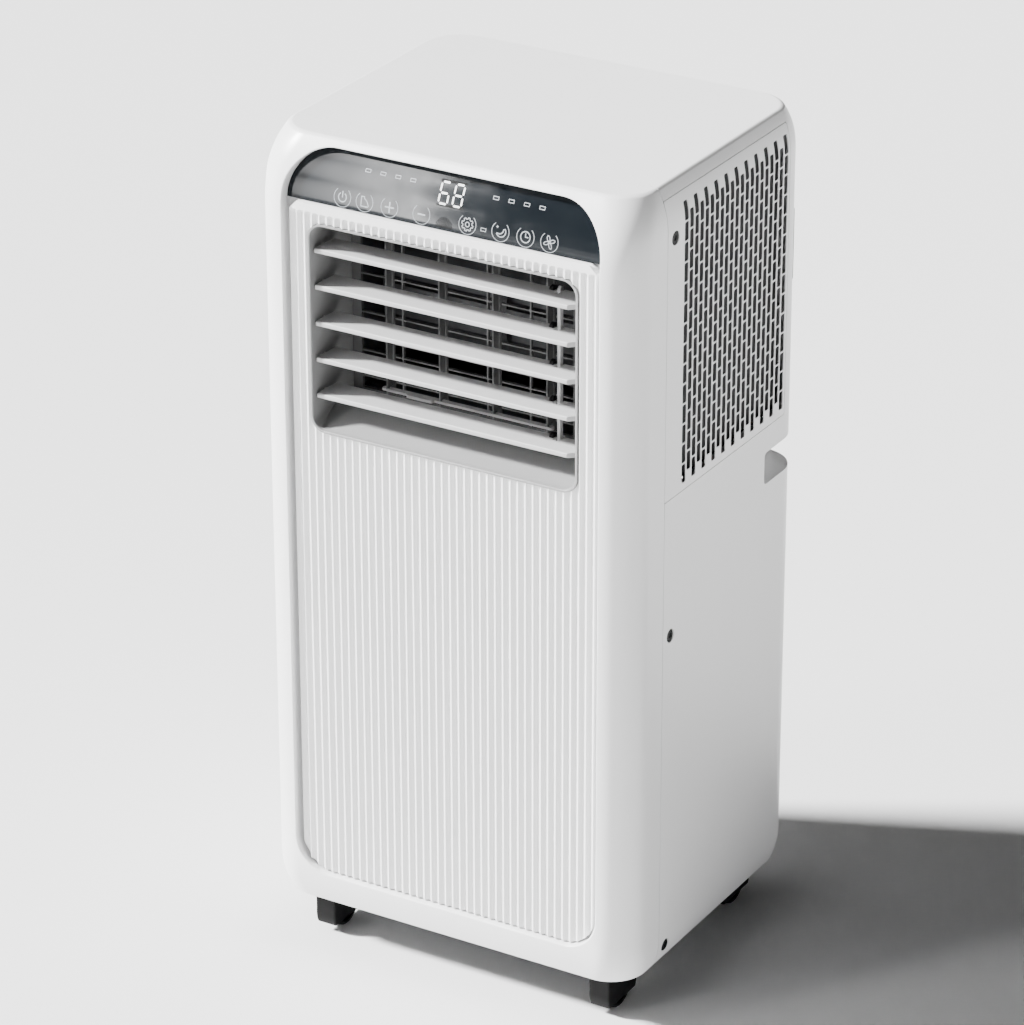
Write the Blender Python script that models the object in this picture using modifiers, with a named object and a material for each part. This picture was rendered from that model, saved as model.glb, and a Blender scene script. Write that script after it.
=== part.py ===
"""Portable air conditioner on four casters: a floor-standing cooling unit with a fluted front.

Metres, +Z up, front toward -Y, origin on the floor under the middle of the overall box.
"""
import math

import bmesh
import bpy

# Overall
WIDTH = 0.330
DEPTH = 0.275
HEIGHT = 0.692
BASE_Z = 0.042
REAR_RELIEF = 0.014  # how far the cord cleat and the exhaust collar stand off the back
FRONT = -(DEPTH + REAR_RELIEF) / 2
REAR = FRONT + DEPTH
SEAM = FRONT + 0.052
WALL = 0.0025
GAP = 0.0003
SNUG = 0.0005

# Casing curvature: corner radius in plan, then radius and inset of each edge that curves in
PLAN_RADIUS = 0.030
TOP_SIDE_RADIUS = 0.070
TOP_SIDE_INSET = 0.009
BOTTOM_SIDE_INSET = 0.005
FRONT_RADIUS = 0.090
TOP_FRONT_INSET = 0.022
BOTTOM_FRONT_INSET = 0.009
REAR_RADIUS = 0.070
REAR_INSET = 0.0047
ARC_STEPS = 6
BOTTOM_LIP = 0.020

# Recess of the front casing, with the control lens above the fluted panel
RECESS_HALF = 0.1369
RECESS_BOTTOM = 0.0715
RECESS_TOP = 0.6855
RECESS_TOP_RADIUS = 0.040
RECESS_BOTTOM_RADIUS = 0.030
RECESS_DEPTH = 0.0125
LENS_DEPTH = 0.008
LENS_THICK = 0.0024
LENS_BOTTOM = 0.643
PANEL_DEPTH = 0.0045
PANEL_GROOVE = 0.0045
PANEL_LOWER_GAP = 0.001
PANEL_TOP = 0.6424
PANEL_THICK = 0.0025
PANEL_FLANGE = 0.006
FLUTES = 40
FLUTE_DEPTH = 0.0017
FLUTE_LAND = 0.0006
FLUTE_TOP_STRIP = 0.007

# Air outlet
OUTLET_HALF = 0.115
OUTLET_BOTTOM = 0.4585
OUTLET_TOP = 0.6255
OUTLET_RADIUS = 0.011
OUTLET_WALL = 0.002
OUTLET_BACK = 0.070
SILL_RISE = 0.011
BLADES = 5
BLADE_TOP_Z = 0.6035
BLADE_PITCH = 0.0297
BLADE_PIVOT_DEPTH = 0.022
BLADE_CHORD = 0.027
BLADE_NOSE = 0.004
BLADE_TAIL = 0.0016
BLADE_END_GAP = 0.0015
PIN_RADIUS = 0.0016
LINK_X = 0.086
LINK_ARM = 0.011
LINK_WIDTH = 0.0025
LINK_DEPTH = 0.0042
FORK_REACH = 0.007
PEG_RADIUS = 0.0010
VANES = 4
VANE_PITCH = 0.047
VANE_PIVOT_DEPTH = 0.049
VANE_CHORD = 0.018
VANE_THICK = 0.0016
VANE_ARM = 0.007
VANE_LINK_Z = 0.487
VANE_LINK_HEIGHT = 0.002
VANE_LINK_WIDTH = 0.005
TAB_LENGTH = 0.024
GRILLE_DEPTH = 0.062
GRILLE_THICK = 0.003
GRILLE_ROWS = 9
GRILLE_COLUMNS = 4
GRILLE_BAR = 0.002

# Sides
SIDE_GRILLE_REAR = FRONT + 0.2435
SIDE_GRILLE_BOTTOM = 0.442
SIDE_GRILLE_TOP = 0.682
SIDE_SLOT_COLUMNS = 7
SIDE_SLOT_ROWS = 3
SIDE_SLOT_WIDTH = 0.0085
SIDE_MARGIN = 0.016
FILTER_THICK = 0.003
SCREW_RADIUS = 0.0053
SCREW_SETBACK = 0.012
SCREW_HEIGHTS = {"top": 0.651, "middle": 0.327, "bottom": 0.0565}
HANDLE_FRONT = FRONT + 0.2125
HANDLE_BOTTOM = 0.393
HANDLE_TOP = 0.420
HANDLE_REACH = 0.027

# Back
REAR_GRILLE_HALF = 0.105
REAR_GRILLE_BOTTOM = 0.465
REAR_GRILLE_TOP = 0.650
REAR_SLATS = 9
EXHAUST_Z = 0.350
EXHAUST_RADIUS = 0.065
COLLAR_WALL = 0.003
CLEAT_X = 0.134
CLEAT_WIDTH = 0.026
CLEAT_BOTTOM = 0.525
CLEAT_TOP = 0.605
CLEAT_CAP = 0.005
GLAND_X = 0.110
GLAND_Z = 0.110
GLAND_RADIUS = 0.009
DRAIN_Z = {"drain_plug_lower": 0.078, "drain_plug_upper": 0.440}
DRAIN_X = -0.110
DRAIN_RADIUS = 0.010
DRAIN_SHANK = 0.006

LOWER_SLOTS_HALF = 0.085
LOWER_SLOTS_BOTTOM = 0.110
LOWER_SLOTS_TOP = 0.250
LOWER_SLOTS = 7

# Inside
PAN_HEIGHT = 0.022
PAN_INSET = 0.012
PAN_FRONT = 0.023
BOARD_DEPTH = 0.036
BOARD_HALF = 0.095
BOARD_THICK = 0.0016
BOARD_HEIGHT = 0.036
TRAY_Z = 0.445
COIL_HALF = 0.100
COIL_BACK = 0.016
MOTOR_RADIUS = 0.013
MOTOR_LENGTH = 0.0120
MOTOR_DEPTH = 0.030
PIN_REACH = 0.006
TAB_REACH = 0.0055
FAN_SETBACK = 0.020
FAN_PITCH = 28.0
COMPRESSOR_X = -0.085
COMPRESSOR_Y = FRONT + 0.095
COMPRESSOR_RADIUS = 0.048
COMPRESSOR_HEIGHT = 0.190
FOOT_LIFT = 0.008
PIPE_RADIUS = 0.004
ELECTRICS_LOW = (0.045, FRONT + 0.040, 0.300)
ELECTRICS_HIGH = (0.135, FRONT + 0.110, 0.360)
TANK_OFFSET = (0.072, -0.012)  # the suction tank's place beside the compressor
TANK_RADIUS = 0.020
TANK_BOTTOM = 0.050
TANK_TOP = 0.160
WHEEL_Z = 0.542
WHEEL_Y = FRONT + 0.152
WHEEL_RADIUS = 0.062
WHEEL_HALF = 0.105
WHEEL_BLADES = 12
SCROLL_RADIUS = 0.080
SCROLL_HALF = 0.1135
INLET_RADIUS = 0.050
SHAFT_RADIUS = 0.004
COIL_THICK = 0.022
FAN_Z = 0.180
FAN_RADIUS = 0.085
FAN_BLADES = 7
FAN_HUB = 0.020
FAN_BLADE_WIDTH = 0.028
FAN_BLADE_THICK = 0.002
FAN_TIP_CLEAR = 0.004
FAN_MOTOR_RADIUS = 0.030
FAN_MOTOR_LENGTH = 0.040
SHROUD_DEPTH = 0.024
CAPACITOR_RADIUS = 0.018
CAPACITOR_HEIGHT = 0.060

# Casters
CASTER_X = 0.127
CASTER_SETBACK = 0.038
HOOD_WIDTH = 0.024
HOOD_CLEAR = 0.0045
HOOD_BOTTOM = 0.008
CASTER_RADIUS = 0.018
CASTER_TRAIL = 0.010
TREAD_WIDTH = 0.014
AXLE_RADIUS = 0.003
STEM_RADIUS = 0.011

SIDE_NAMES = {1: "right", -1: "left"}
BLADE_HEIGHTS = [BLADE_TOP_Z - BLADE_PITCH * i for i in range(BLADES)]
VANE_PLACES = [VANE_PITCH * (i - (VANES - 1) / 2) for i in range(VANES)]
BEYOND = 0.010  # how far a cutter runs past the face that it opens

for old in list(bpy.data.objects):
    bpy.data.objects.remove(old, do_unlink=True)
PARTS = bpy.data.collections.new("portable_air_conditioner")
CUTTERS = bpy.data.collections.new("cutters")
bpy.context.scene.collection.children.link(PARTS)
bpy.context.scene.collection.children.link(CUTTERS)


def material(name, color, roughness, metallic=0.0):
    made = bpy.data.materials.new(name)
    made.use_nodes = True
    shader = made.node_tree.nodes["Principled BSDF"]
    shader.inputs["Base Color"].default_value = (*color, 1.0)
    shader.inputs["Roughness"].default_value = roughness
    shader.inputs["Metallic"].default_value = metallic
    return made


WHITE = material("white_plastic", (0.84, 0.84, 0.84), 0.38)
FLUTED = material("fluted_plastic", (0.86, 0.86, 0.86), 0.42)
GREY = material("outlet_plastic", (0.62, 0.62, 0.62), 0.45)
LENS = material("lens_gloss", (0.045, 0.055, 0.065), 0.06)
BLACK = material("black_plastic", (0.012, 0.012, 0.012), 0.45)
DARK = material("dark_plastic", (0.05, 0.05, 0.05), 0.5)
FILTER = material("filter_mesh", (0.10, 0.11, 0.12), 0.8)
RUBBER = material("rubber", (0.02, 0.02, 0.02), 0.8)
STEEL = material("motor_steel", (0.55, 0.56, 0.57), 0.35, 1.0)
PAINTED = material("compressor_paint", (0.02, 0.02, 0.022), 0.4)
FINS = material("aluminium_fins", (0.70, 0.71, 0.73), 0.4, 1.0)
COPPER = material("copper", (0.72, 0.36, 0.20), 0.3, 1.0)
BOARD = material("circuit_board", (0.03, 0.18, 0.08), 0.5)
BOX = material("box_plastic", (0.50, 0.50, 0.49), 0.5)


# ---------------------------------------------------------------- building blocks
def place(name, mesh, paint=None):
    """Put a mesh in the model under its name, or among the cutters when it has no paint."""
    thing = bpy.data.objects.new(name, mesh)
    if paint is None:
        CUTTERS.objects.link(thing)
        thing.hide_render = True
        thing.display_type = "WIRE"
    else:
        PARTS.objects.link(thing)
        mesh.materials.clear()
        mesh.materials.append(paint)
    return thing


def mesh_of(name, shape):
    mesh = bpy.data.meshes.new(name)
    shape.to_mesh(mesh)
    shape.free()
    return mesh


def box(name, low, high, paint=None):
    shape = bmesh.new()
    bmesh.ops.create_cube(shape, size=1.0)
    for vertex in shape.verts:
        vertex.co = [(a + b) / 2 + (b - a) * c for a, b, c in zip(low, high, vertex.co)]
    return place(name, mesh_of(name, shape), paint)


def side_box(name, side, across, along, up, paint=None):
    """A box on one side of the machine: side is +1 for the right and -1 for the left."""
    near, far = sorted((side * across[0], side * across[1]))
    return box(name, (near, along[0], up[0]), (far, along[1], up[1]), paint)


def turn_to(axis, across, up, along):
    """The point that lies `along` the axis, with its two other coordinates in order."""
    return {"x": (along, across, up), "y": (across, along, up), "z": (across, up, along)}[axis]


def rod(name, axis, centre, radius, low, high, paint=None, sides=24):
    """A cylinder along an axis; centre holds the two coordinates off that axis."""
    return rods(name, axis, [centre], radius, low, high, paint, sides)


def rods(name, axis, centres, radius, low, high, paint=None, sides=12):
    """Several equal cylinders along an axis, in one object."""
    shape = bmesh.new()
    for centre in centres:
        added = bmesh.ops.create_cone(shape, cap_ends=True, segments=sides, radius1=radius, radius2=radius,
                                      depth=1.0)
        for vertex in added["verts"]:
            across, up, along = vertex.co
            spot = low + (high - low) * (along + 0.5)
            vertex.co = turn_to(axis, centre[0] + across, centre[1] + up, spot)
    if axis == "y":  # this axis swaps two coordinates, which mirrors the shape
        bmesh.ops.reverse_faces(shape, faces=shape.faces)
    made = place(name, mesh_of(name, shape), paint)
    made.data.shade_smooth()
    made.data.set_sharp_from_angle(angle=math.radians(40))
    return made


def outline(name, points, axis, low, high, paint=None):
    """A flat closed outline extruded along an axis between two places."""
    curve = bpy.data.curves.new(name, "CURVE")
    curve.dimensions = "2D"
    curve.fill_mode = "BOTH"
    curve.extrude = (high - low) / 2
    spline = curve.splines.new("POLY")
    spline.points.add(len(points) - 1)
    for spot, (across, up) in zip(spline.points, points):
        spot.co = (across, up, 0.0, 1.0)
    spline.use_cyclic_u = True
    drawn = bpy.data.objects.new(name, curve)
    bpy.context.scene.collection.objects.link(drawn)
    bpy.context.view_layer.update()
    seen = drawn.evaluated_get(bpy.context.evaluated_depsgraph_get())
    mesh = bpy.data.meshes.new_from_object(seen)
    bpy.data.objects.remove(drawn, do_unlink=True)
    shape = bmesh.new()
    shape.from_mesh(mesh)
    bmesh.ops.remove_doubles(shape, verts=shape.verts, dist=0.00001)
    for vertex in shape.verts:
        across, up, along = vertex.co
        vertex.co = turn_to(axis, across, up, (low + high) / 2 + along)
    if shape.calc_volume(signed=True) < 0:
        bmesh.ops.reverse_faces(shape, faces=shape.faces)
    return place(name, mesh_of(name, shape), paint)


def turned(name, profile, axis, centre, paint=None, steps=32):
    """A profile of (radius, place) points turned about an axis, both its ends on the axis."""
    shape = bmesh.new()
    spots = [shape.verts.new((radius, 0.0, along)) for radius, along in profile]
    for first, second in zip(spots, spots[1:]):
        shape.edges.new((first, second))
    made = place(name, mesh_of(name, shape), paint)
    made.location = turn_to(axis, centre[0], centre[1], 0.0)
    made.rotation_euler = {"x": (0, math.pi / 2, 0), "y": (-math.pi / 2, 0, 0), "z": (0, 0, 0)}[axis]
    spin = made.modifiers.new("spin", "SCREW")
    spin.steps = steps
    spin.render_steps = steps
    spin.use_merge_vertices = True
    spin.merge_threshold = 0.0001
    spin.use_smooth_shade = True
    return made


def boolean(thing, operation, *others):
    """Cut, join or trim a solid with others, which become its cutters."""
    for other in others:
        if other.name in PARTS.objects:
            PARTS.objects.unlink(other)
            CUTTERS.objects.link(other)
            other.hide_render = True
            other.display_type = "WIRE"
        step = thing.modifiers.new(operation.lower() + "_" + other.name, "BOOLEAN")
        step.operation = operation
        step.solver = "EXACT"
        step.object = other
    return thing


def cut(thing, *others):
    return boolean(thing, "DIFFERENCE", *others)


def join(thing, *others):
    return boolean(thing, "UNION", *others)


def trim(thing, *others):
    return boolean(thing, "INTERSECT", *others)


def arc(centre, radius, start, end, steps=ARC_STEPS):
    """Points on an arc from one angle to another, in degrees."""
    turn = [math.radians(start + (end - start) * i / steps) for i in range(steps + 1)]
    return [(centre[0] + radius * math.cos(t), centre[1] + radius * math.sin(t)) for t in turn]


def rounded(half, low, high, radius, top_radius=None, steps=ARC_STEPS):
    """A rounded rectangle, symmetric across, from low to high."""
    upper = radius if top_radius is None else top_radius
    return (arc((half - upper, high - upper), upper, 0, 90, steps)
            + arc((upper - half, high - upper), upper, 90, 180, steps)
            + arc((radius - half, low + radius), radius, 180, 270, steps)
            + arc((half - radius, low + radius), radius, 270, 360, steps))


# ---------------------------------------------------------------- casing shape
def bend(radius, inset):
    """Length of the edge that curves in by `inset` along an arc."""
    return math.sqrt(radius ** 2 - (radius - inset) ** 2)


def curved_edge(face, level, radius, inset, depth, upward, outward):
    """Points where a face curves in toward a level, at a depth behind the outer skin.

    The arc's first point is left outside the solid, so that the arc meets the plain face cleanly.
    """
    centre_across = face - outward * radius
    centre_up = level - upward * bend(radius, inset)
    end = math.asin((abs(level - centre_up) - depth) / (radius - depth))
    points = [(face + outward * (SNUG - depth), centre_up)]
    for step in range(1, ARC_STEPS + 1):
        turn = end * step / ARC_STEPS
        across = centre_across + outward * (radius - depth) * math.cos(turn)
        points.append((across, centre_up + upward * (radius - depth) * math.sin(turn)))
    return points


def side_profile(depth):
    """Outline across the depth of the machine, seen from its right side."""
    base = curved_edge(FRONT, BASE_Z, FRONT_RADIUS, BOTTOM_FRONT_INSET, depth, -1, -1)
    top = curved_edge(FRONT, HEIGHT, FRONT_RADIUS, TOP_FRONT_INSET, depth, 1, -1)
    rear_top = curved_edge(REAR, HEIGHT, REAR_RADIUS, REAR_INSET, depth, 1, 1)
    rear_base = curved_edge(REAR, BASE_Z, REAR_RADIUS, REAR_INSET, depth, -1, 1)
    over = [(top[-1][0], HEIGHT + BEYOND), (rear_top[-1][0], HEIGHT + BEYOND)]
    under = [(rear_base[-1][0], BASE_Z - BEYOND), (base[-1][0], BASE_Z - BEYOND)]
    return base[::-1] + top + over + rear_top[::-1] + rear_base + under


def front_profile(depth):
    """Outline across the width of the machine, seen from the front."""
    half = WIDTH / 2
    top = curved_edge(half, HEIGHT, TOP_SIDE_RADIUS, TOP_SIDE_INSET, depth, 1, 1)
    base = curved_edge(half, BASE_Z, TOP_SIDE_RADIUS, BOTTOM_SIDE_INSET, depth, -1, 1)
    right = base[::-1] + top
    return right + [(-across, up) for across, up in reversed(right)]


def casing_solid(name, depth, paint=None):
    """The whole outer form of the machine, drawn in by a depth on every side."""
    radius = PLAN_RADIUS - depth
    plan = rounded(WIDTH / 2 - depth, FRONT + depth, REAR - depth, radius)
    solid = outline(name, plan, "z", BASE_Z - BEYOND, HEIGHT + BEYOND, paint)
    across = outline(name + "_front_view", front_profile(depth), "y", FRONT - BEYOND, REAR + BEYOND)
    along = outline(name + "_side_view", side_profile(depth), "x", -WIDTH, WIDTH)
    return trim(solid, across, along)


def side_face(height):
    """How far out the side face is at a height."""
    above = height - (HEIGHT - bend(TOP_SIDE_RADIUS, TOP_SIDE_INSET))
    below = BASE_Z + bend(TOP_SIDE_RADIUS, BOTTOM_SIDE_INSET) - height
    drop = max(above, below, 0.0)
    return WIDTH / 2 - TOP_SIDE_RADIUS + math.sqrt(TOP_SIDE_RADIUS ** 2 - drop ** 2)


def front_band(name, outer, inner, low, high, half, paint=None):
    """A sheet that follows the curved front between two depths and two heights."""
    def face(depth):
        base = curved_edge(FRONT, BASE_Z, FRONT_RADIUS, BOTTOM_FRONT_INSET, depth, -1, -1)
        top = curved_edge(FRONT, HEIGHT, FRONT_RADIUS, TOP_FRONT_INSET, depth, 1, -1)
        plain = FRONT + depth
        flat = [(plain, base[0][1]), (plain, top[0][1])]
        return base[:0:-1] + flat + top[1:]
    sheet = outline(name, face(outer) + face(inner)[::-1], "x", -half, half, paint)
    return trim(sheet, box(name + "_height", (-WIDTH, FRONT - BEYOND, low), (WIDTH, REAR, high)))


def shell(name, paint):
    outer = casing_solid(name, 0.0, paint)
    return cut(outer, casing_solid(name + "_hollow", WALL))


def recess_outline(grow):
    """The front recess, grown or shrunk by a margin."""
    return rounded(RECESS_HALF + grow, RECESS_BOTTOM - grow, RECESS_TOP + grow,
                   RECESS_BOTTOM_RADIUS + grow, RECESS_TOP_RADIUS + grow)


def bottom_opening(name):
    reach = WIDTH / 2 - BOTTOM_LIP
    low = (-reach, FRONT + BOTTOM_FRONT_INSET + 2 * WALL, BASE_Z - BEYOND)
    return box(name, low, (reach, REAR - BOTTOM_LIP, BASE_Z + 2 * WALL))


# ---------------------------------------------------------------- casings and covers
def front_casing():
    casing = shell("front_casing", WHITE)
    cut(casing, box("behind_seam", (-WIDTH, SEAM, 0.0), (WIDTH, REAR + BEYOND, HEIGHT + BEYOND)))
    collar = front_band("recess_wall", SNUG, RECESS_DEPTH - GAP, RECESS_BOTTOM - WALL,
                        HEIGHT - WALL / 2, RECESS_HALF + WALL)
    trim(collar, outline("recess_wall_edge", recess_outline(WALL), "y", FRONT - BEYOND, SEAM))
    join(casing, collar)
    cut(casing, outline("recess_mouth", recess_outline(0.0), "y", FRONT - BEYOND, SEAM - WALL))
    cut(casing, bottom_opening("front_bottom_opening"))
    return casing


def control_panel():
    lens = front_band("control_panel", LENS_DEPTH, LENS_DEPTH + LENS_THICK, LENS_BOTTOM, HEIGHT,
                      WIDTH / 2, LENS)
    return trim(lens, outline("lens_edge", recess_outline(-GAP), "y", FRONT - BEYOND, SEAM))


def panel_outline(shrink):
    """The raised face of the panel: a groove round it at its sides, and nearly none below."""
    half = RECESS_HALF - PANEL_GROOVE - shrink
    return rounded(half, RECESS_BOTTOM + PANEL_LOWER_GAP + shrink, RECESS_TOP,
                   RECESS_BOTTOM_RADIUS - PANEL_GROOVE - shrink)


def flute_comb():
    """The space in front of the flutes: one outline with a shallow round channel for each."""
    half = RECESS_HALF - PANEL_GROOVE
    pitch = 2 * half / FLUTES
    reach = pitch / 2 - FLUTE_LAND / 2
    ridge = FRONT + PANEL_DEPTH - SNUG / 2
    points = [(-half - BEYOND, FRONT - BEYOND)]
    for index in range(FLUTES):
        middle = -half + pitch * (index + 0.5)
        for share in (-1.0, -0.4, 0.4, 1.0):
            deep = (FLUTE_DEPTH + SNUG / 2) * (1 - share ** 2)
            points.append((middle + share * reach, ridge + deep))
    points.append((half + BEYOND, FRONT - BEYOND))
    return outline("flute_comb", points[::-1], "z", BASE_Z, PANEL_TOP - FLUTE_TOP_STRIP)


def outlet_outline(grow):
    return rounded(OUTLET_HALF + grow, OUTLET_BOTTOM - grow, OUTLET_TOP + grow, OUTLET_RADIUS + grow, steps=4)


def front_panel():
    panel = front_band("front_panel", RECESS_DEPTH, RECESS_DEPTH + PANEL_THICK, BASE_Z + 2 * WALL,
                       HEIGHT - 2 * WALL, WIDTH / 2, FLUTED)
    trim(panel, outline("panel_flange", recess_outline(PANEL_FLANGE), "y", FRONT, SEAM))
    face = outline("panel_face", panel_outline(0.0), "y", FRONT + PANEL_DEPTH,
                   FRONT + RECESS_DEPTH + PANEL_THICK / 2)
    trim(face, box("panel_face_height", (-WIDTH, FRONT, BASE_Z), (WIDTH, SEAM, PANEL_TOP)))
    cut(face, flute_comb())
    join(panel, face)
    hollow = outline("panel_hollow", panel_outline(WALL), "y", FRONT + PANEL_DEPTH + FLUTE_DEPTH + PANEL_THICK,
                     FRONT + RECESS_DEPTH + PANEL_THICK + BEYOND)
    trim(hollow, box("panel_hollow_height", (-WIDTH, FRONT, BASE_Z), (WIDTH, SEAM, PANEL_TOP - WALL)))
    cut(panel, hollow)
    cut(panel, outline("outlet_hole", outlet_outline(OUTLET_WALL + GAP), "y", FRONT, SEAM))
    return panel


def rear_casing():
    casing = shell("rear_casing", WHITE)
    cut(casing, box("before_seam", (-WIDTH, FRONT - BEYOND, 0.0), (WIDTH, SEAM + GAP, HEIGHT + BEYOND)))
    cut(casing, bottom_opening("rear_bottom_opening"))
    near, far = WIDTH / 2 - HANDLE_REACH, WIDTH / 2 + BEYOND
    for side in (1, -1):
        mark = SIDE_NAMES[side]
        pocket = side_box("handle_pocket_" + mark, side, (near - WALL, far),
                          (HANDLE_FRONT - WALL, REAR + BEYOND), (HANDLE_BOTTOM - WALL, HANDLE_TOP + WALL))
        join(casing, trim(pocket, casing_solid("handle_skin_" + mark, SNUG)))
        hollow = side_box("handle_hollow_" + mark, side, (near, far), (HANDLE_FRONT, REAR + BEYOND),
                          (HANDLE_BOTTOM, HANDLE_TOP))
        opening = side_box("side_opening_" + mark, side, (near, far), (SEAM - BEYOND, SIDE_GRILLE_REAR + SNUG),
                           (SIDE_GRILLE_BOTTOM - SNUG, SIDE_GRILLE_TOP + SNUG))
        cut(casing, hollow, opening)
        for level, height in SCREW_HEIGHTS.items():
            cut(casing, rod("screw_hole_" + mark + "_" + level, "x", (SEAM + SCREW_SETBACK, height),
                            SCREW_RADIUS + GAP, *sorted((side * near, side * far)), sides=16))
    back = (REAR - PLAN_RADIUS, REAR + BEYOND)
    cut(casing, box("rear_opening", (-REAR_GRILLE_HALF - SNUG, back[0], REAR_GRILLE_BOTTOM - SNUG),
                    (REAR_GRILLE_HALF + SNUG, back[1], REAR_GRILLE_TOP + SNUG)))
    cut(casing, rod("exhaust_opening", "y", (0.0, EXHAUST_Z), EXHAUST_RADIUS + COLLAR_WALL + GAP, *back,
                    sides=48))
    pitch = (LOWER_SLOTS_TOP - LOWER_SLOTS_BOTTOM) / LOWER_SLOTS
    for index in range(LOWER_SLOTS):
        level = LOWER_SLOTS_BOTTOM + pitch * index
        cut(casing, box("lower_slot_%d" % index, (-LOWER_SLOTS_HALF, back[0], level + WALL),
                        (LOWER_SLOTS_HALF, back[1], level + pitch - WALL)))
    cut(casing, rod("gland_hole", "y", (GLAND_X, GLAND_Z), GLAND_RADIUS + GAP, *back))
    for name, height in DRAIN_Z.items():
        cut(casing, rod(name + "_hole", "y", (DRAIN_X, height), DRAIN_SHANK + GAP, *back))
    return casing


def side_grille(side):
    """The slotted cover that carries on the curve of the side, and the filter behind it."""
    mark = SIDE_NAMES[side]
    along = (SEAM + 2 * GAP, SIDE_GRILLE_REAR)
    up = (SIDE_GRILLE_BOTTOM, SIDE_GRILLE_TOP)
    cover = casing_solid("side_grille_" + mark, 0.0, WHITE)
    trim(cover, side_box("grille_edge_" + mark, side, (WIDTH / 2 - 2 * BEYOND, WIDTH), along, up))
    cut(cover, casing_solid("grille_back_" + mark, WALL))
    field = (along[0] + SIDE_MARGIN, along[1] - SIDE_MARGIN / 2, up[0] + SIDE_MARGIN, up[1] - SIDE_MARGIN)
    wide = (field[1] - field[0]) / SIDE_SLOT_COLUMNS
    tall = (field[3] - field[2]) / SIDE_SLOT_ROWS
    for column in range(SIDE_SLOT_COLUMNS):
        middle = field[0] + wide * (column + 0.5)
        for row in range(SIDE_SLOT_ROWS):
            low = field[2] + tall * row
            half = SIDE_SLOT_WIDTH / 2
            slot = side_box("side_slot_%s_%d_%d" % (mark, column, row), side, (WIDTH / 2 - 2 * BEYOND, WIDTH),
                            (middle - half, middle + half), (low + WALL, low + tall - WALL))
            cut(cover, slot)
    cut(cover, rod("grille_screw_hole_" + mark, "x", (SEAM + SCREW_SETBACK, SCREW_HEIGHTS["top"]),
                   SCREW_RADIUS + GAP, *sorted((side * (WIDTH / 2 - 2 * BEYOND), side * WIDTH)), sides=16))
    edge = 2 * WALL
    outer = side_face(up[1]) - WALL - GAP
    side_box("side_filter_" + mark, side, (outer - FILTER_THICK, outer),
             (along[0] + edge, along[1] - edge), (up[0] + edge, up[1] - edge), FILTER)


def rear_covers():
    """The removable slatted cover in the back, flush with it, and the filter behind it."""
    half, low = REAR_GRILLE_HALF, REAR_GRILLE_BOTTOM
    edge = 2 * WALL
    cover = box("rear_grille", (-half, REAR - WALL, low), (half, REAR, REAR_GRILLE_TOP), WHITE)
    pitch = (REAR_GRILLE_TOP - low) / REAR_SLATS
    for index in range(REAR_SLATS):
        level = low + pitch * index
        cut(cover, box("rear_slot_%d" % index, (edge - half, REAR - BEYOND, level + WALL),
                       (half - edge, REAR + BEYOND, level + pitch - WALL)))
    back = REAR - WALL - GAP
    box("rear_filter", (edge - REAR_GRILLE_HALF, back - FILTER_THICK, REAR_GRILLE_BOTTOM + edge),
        (REAR_GRILLE_HALF - edge, back, REAR_GRILLE_TOP - edge), FILTER)


def exhaust_collar():
    """The round outlet that the exhaust hose pushes onto."""
    centre = (0.0, EXHAUST_Z)
    rim = REAR + REAR_RELIEF
    outside, edge = EXHAUST_RADIUS + COLLAR_WALL, EXHAUST_RADIUS + 3 * COLLAR_WALL
    collar = rod("exhaust_collar", "y", centre, outside, REAR - BEYOND, rim, GREY, sides=40)
    flange = rod("collar_flange", "y", centre, edge, REAR + GAP, REAR + WALL, sides=40)
    bore = rod("collar_bore", "y", centre, EXHAUST_RADIUS, REAR - 2 * BEYOND, rim + BEYOND, sides=40)
    join(collar, flange)
    cut(collar, bore)
    reach = EXHAUST_RADIUS + COLLAR_WALL / 2
    inside = REAR - COLLAR_WALL
    bars = box("collar_bar_level", (-reach, inside - COLLAR_WALL, EXHAUST_Z - COLLAR_WALL / 2),
               (reach, inside, EXHAUST_Z + COLLAR_WALL / 2))
    upright = box("collar_bar_upright", (-COLLAR_WALL / 2, inside - COLLAR_WALL, EXHAUST_Z - reach),
                  (COLLAR_WALL / 2, inside, EXHAUST_Z + reach))
    join(collar, bars, upright)


def cord_cleat():
    """A block with sloped ends at the rear edge, with a black cap, to wind the supply cord on."""
    rise = REAR_RELIEF - CLEAT_CAP - GAP
    base = REAR + GAP
    side = [(base, CLEAT_BOTTOM), (base + rise, CLEAT_BOTTOM + rise),
            (base + rise, CLEAT_TOP - rise), (base, CLEAT_TOP)]
    outline("cord_cleat", side, "x", CLEAT_X - CLEAT_WIDTH / 2, CLEAT_X + CLEAT_WIDTH / 2, WHITE)
    low, high = CLEAT_BOTTOM + rise, CLEAT_TOP - rise
    box("cord_cleat_cap", (CLEAT_X - CLEAT_WIDTH / 2, base + rise + GAP, low),
        (CLEAT_X + CLEAT_WIDTH / 2, REAR + REAR_RELIEF, high), BLACK)


def rear_fittings():
    """The cord gland and the two drain plugs in the back."""
    rim, neck = GLAND_RADIUS + WALL, GLAND_RADIUS
    inside, outside = REAR - 3 * WALL, REAR + 2 * WALL
    turned("cord_gland", [(0, outside), (neck * 0.7, outside), (rim, REAR + GAP), (neck, REAR + GAP),
                          (neck, inside), (0, inside)], "y", (GLAND_X, GLAND_Z), BLACK, steps=24)
    for name, height in DRAIN_Z.items():
        head = REAR + WALL + GAP
        turned(name, [(0, head), (DRAIN_RADIUS * 0.8, head), (DRAIN_RADIUS, REAR + WALL),
                      (DRAIN_RADIUS, REAR + GAP), (DRAIN_SHANK, REAR + GAP),
                      (DRAIN_SHANK, inside), (0, inside)], "y", (DRAIN_X, height), RUBBER, steps=24)


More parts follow.
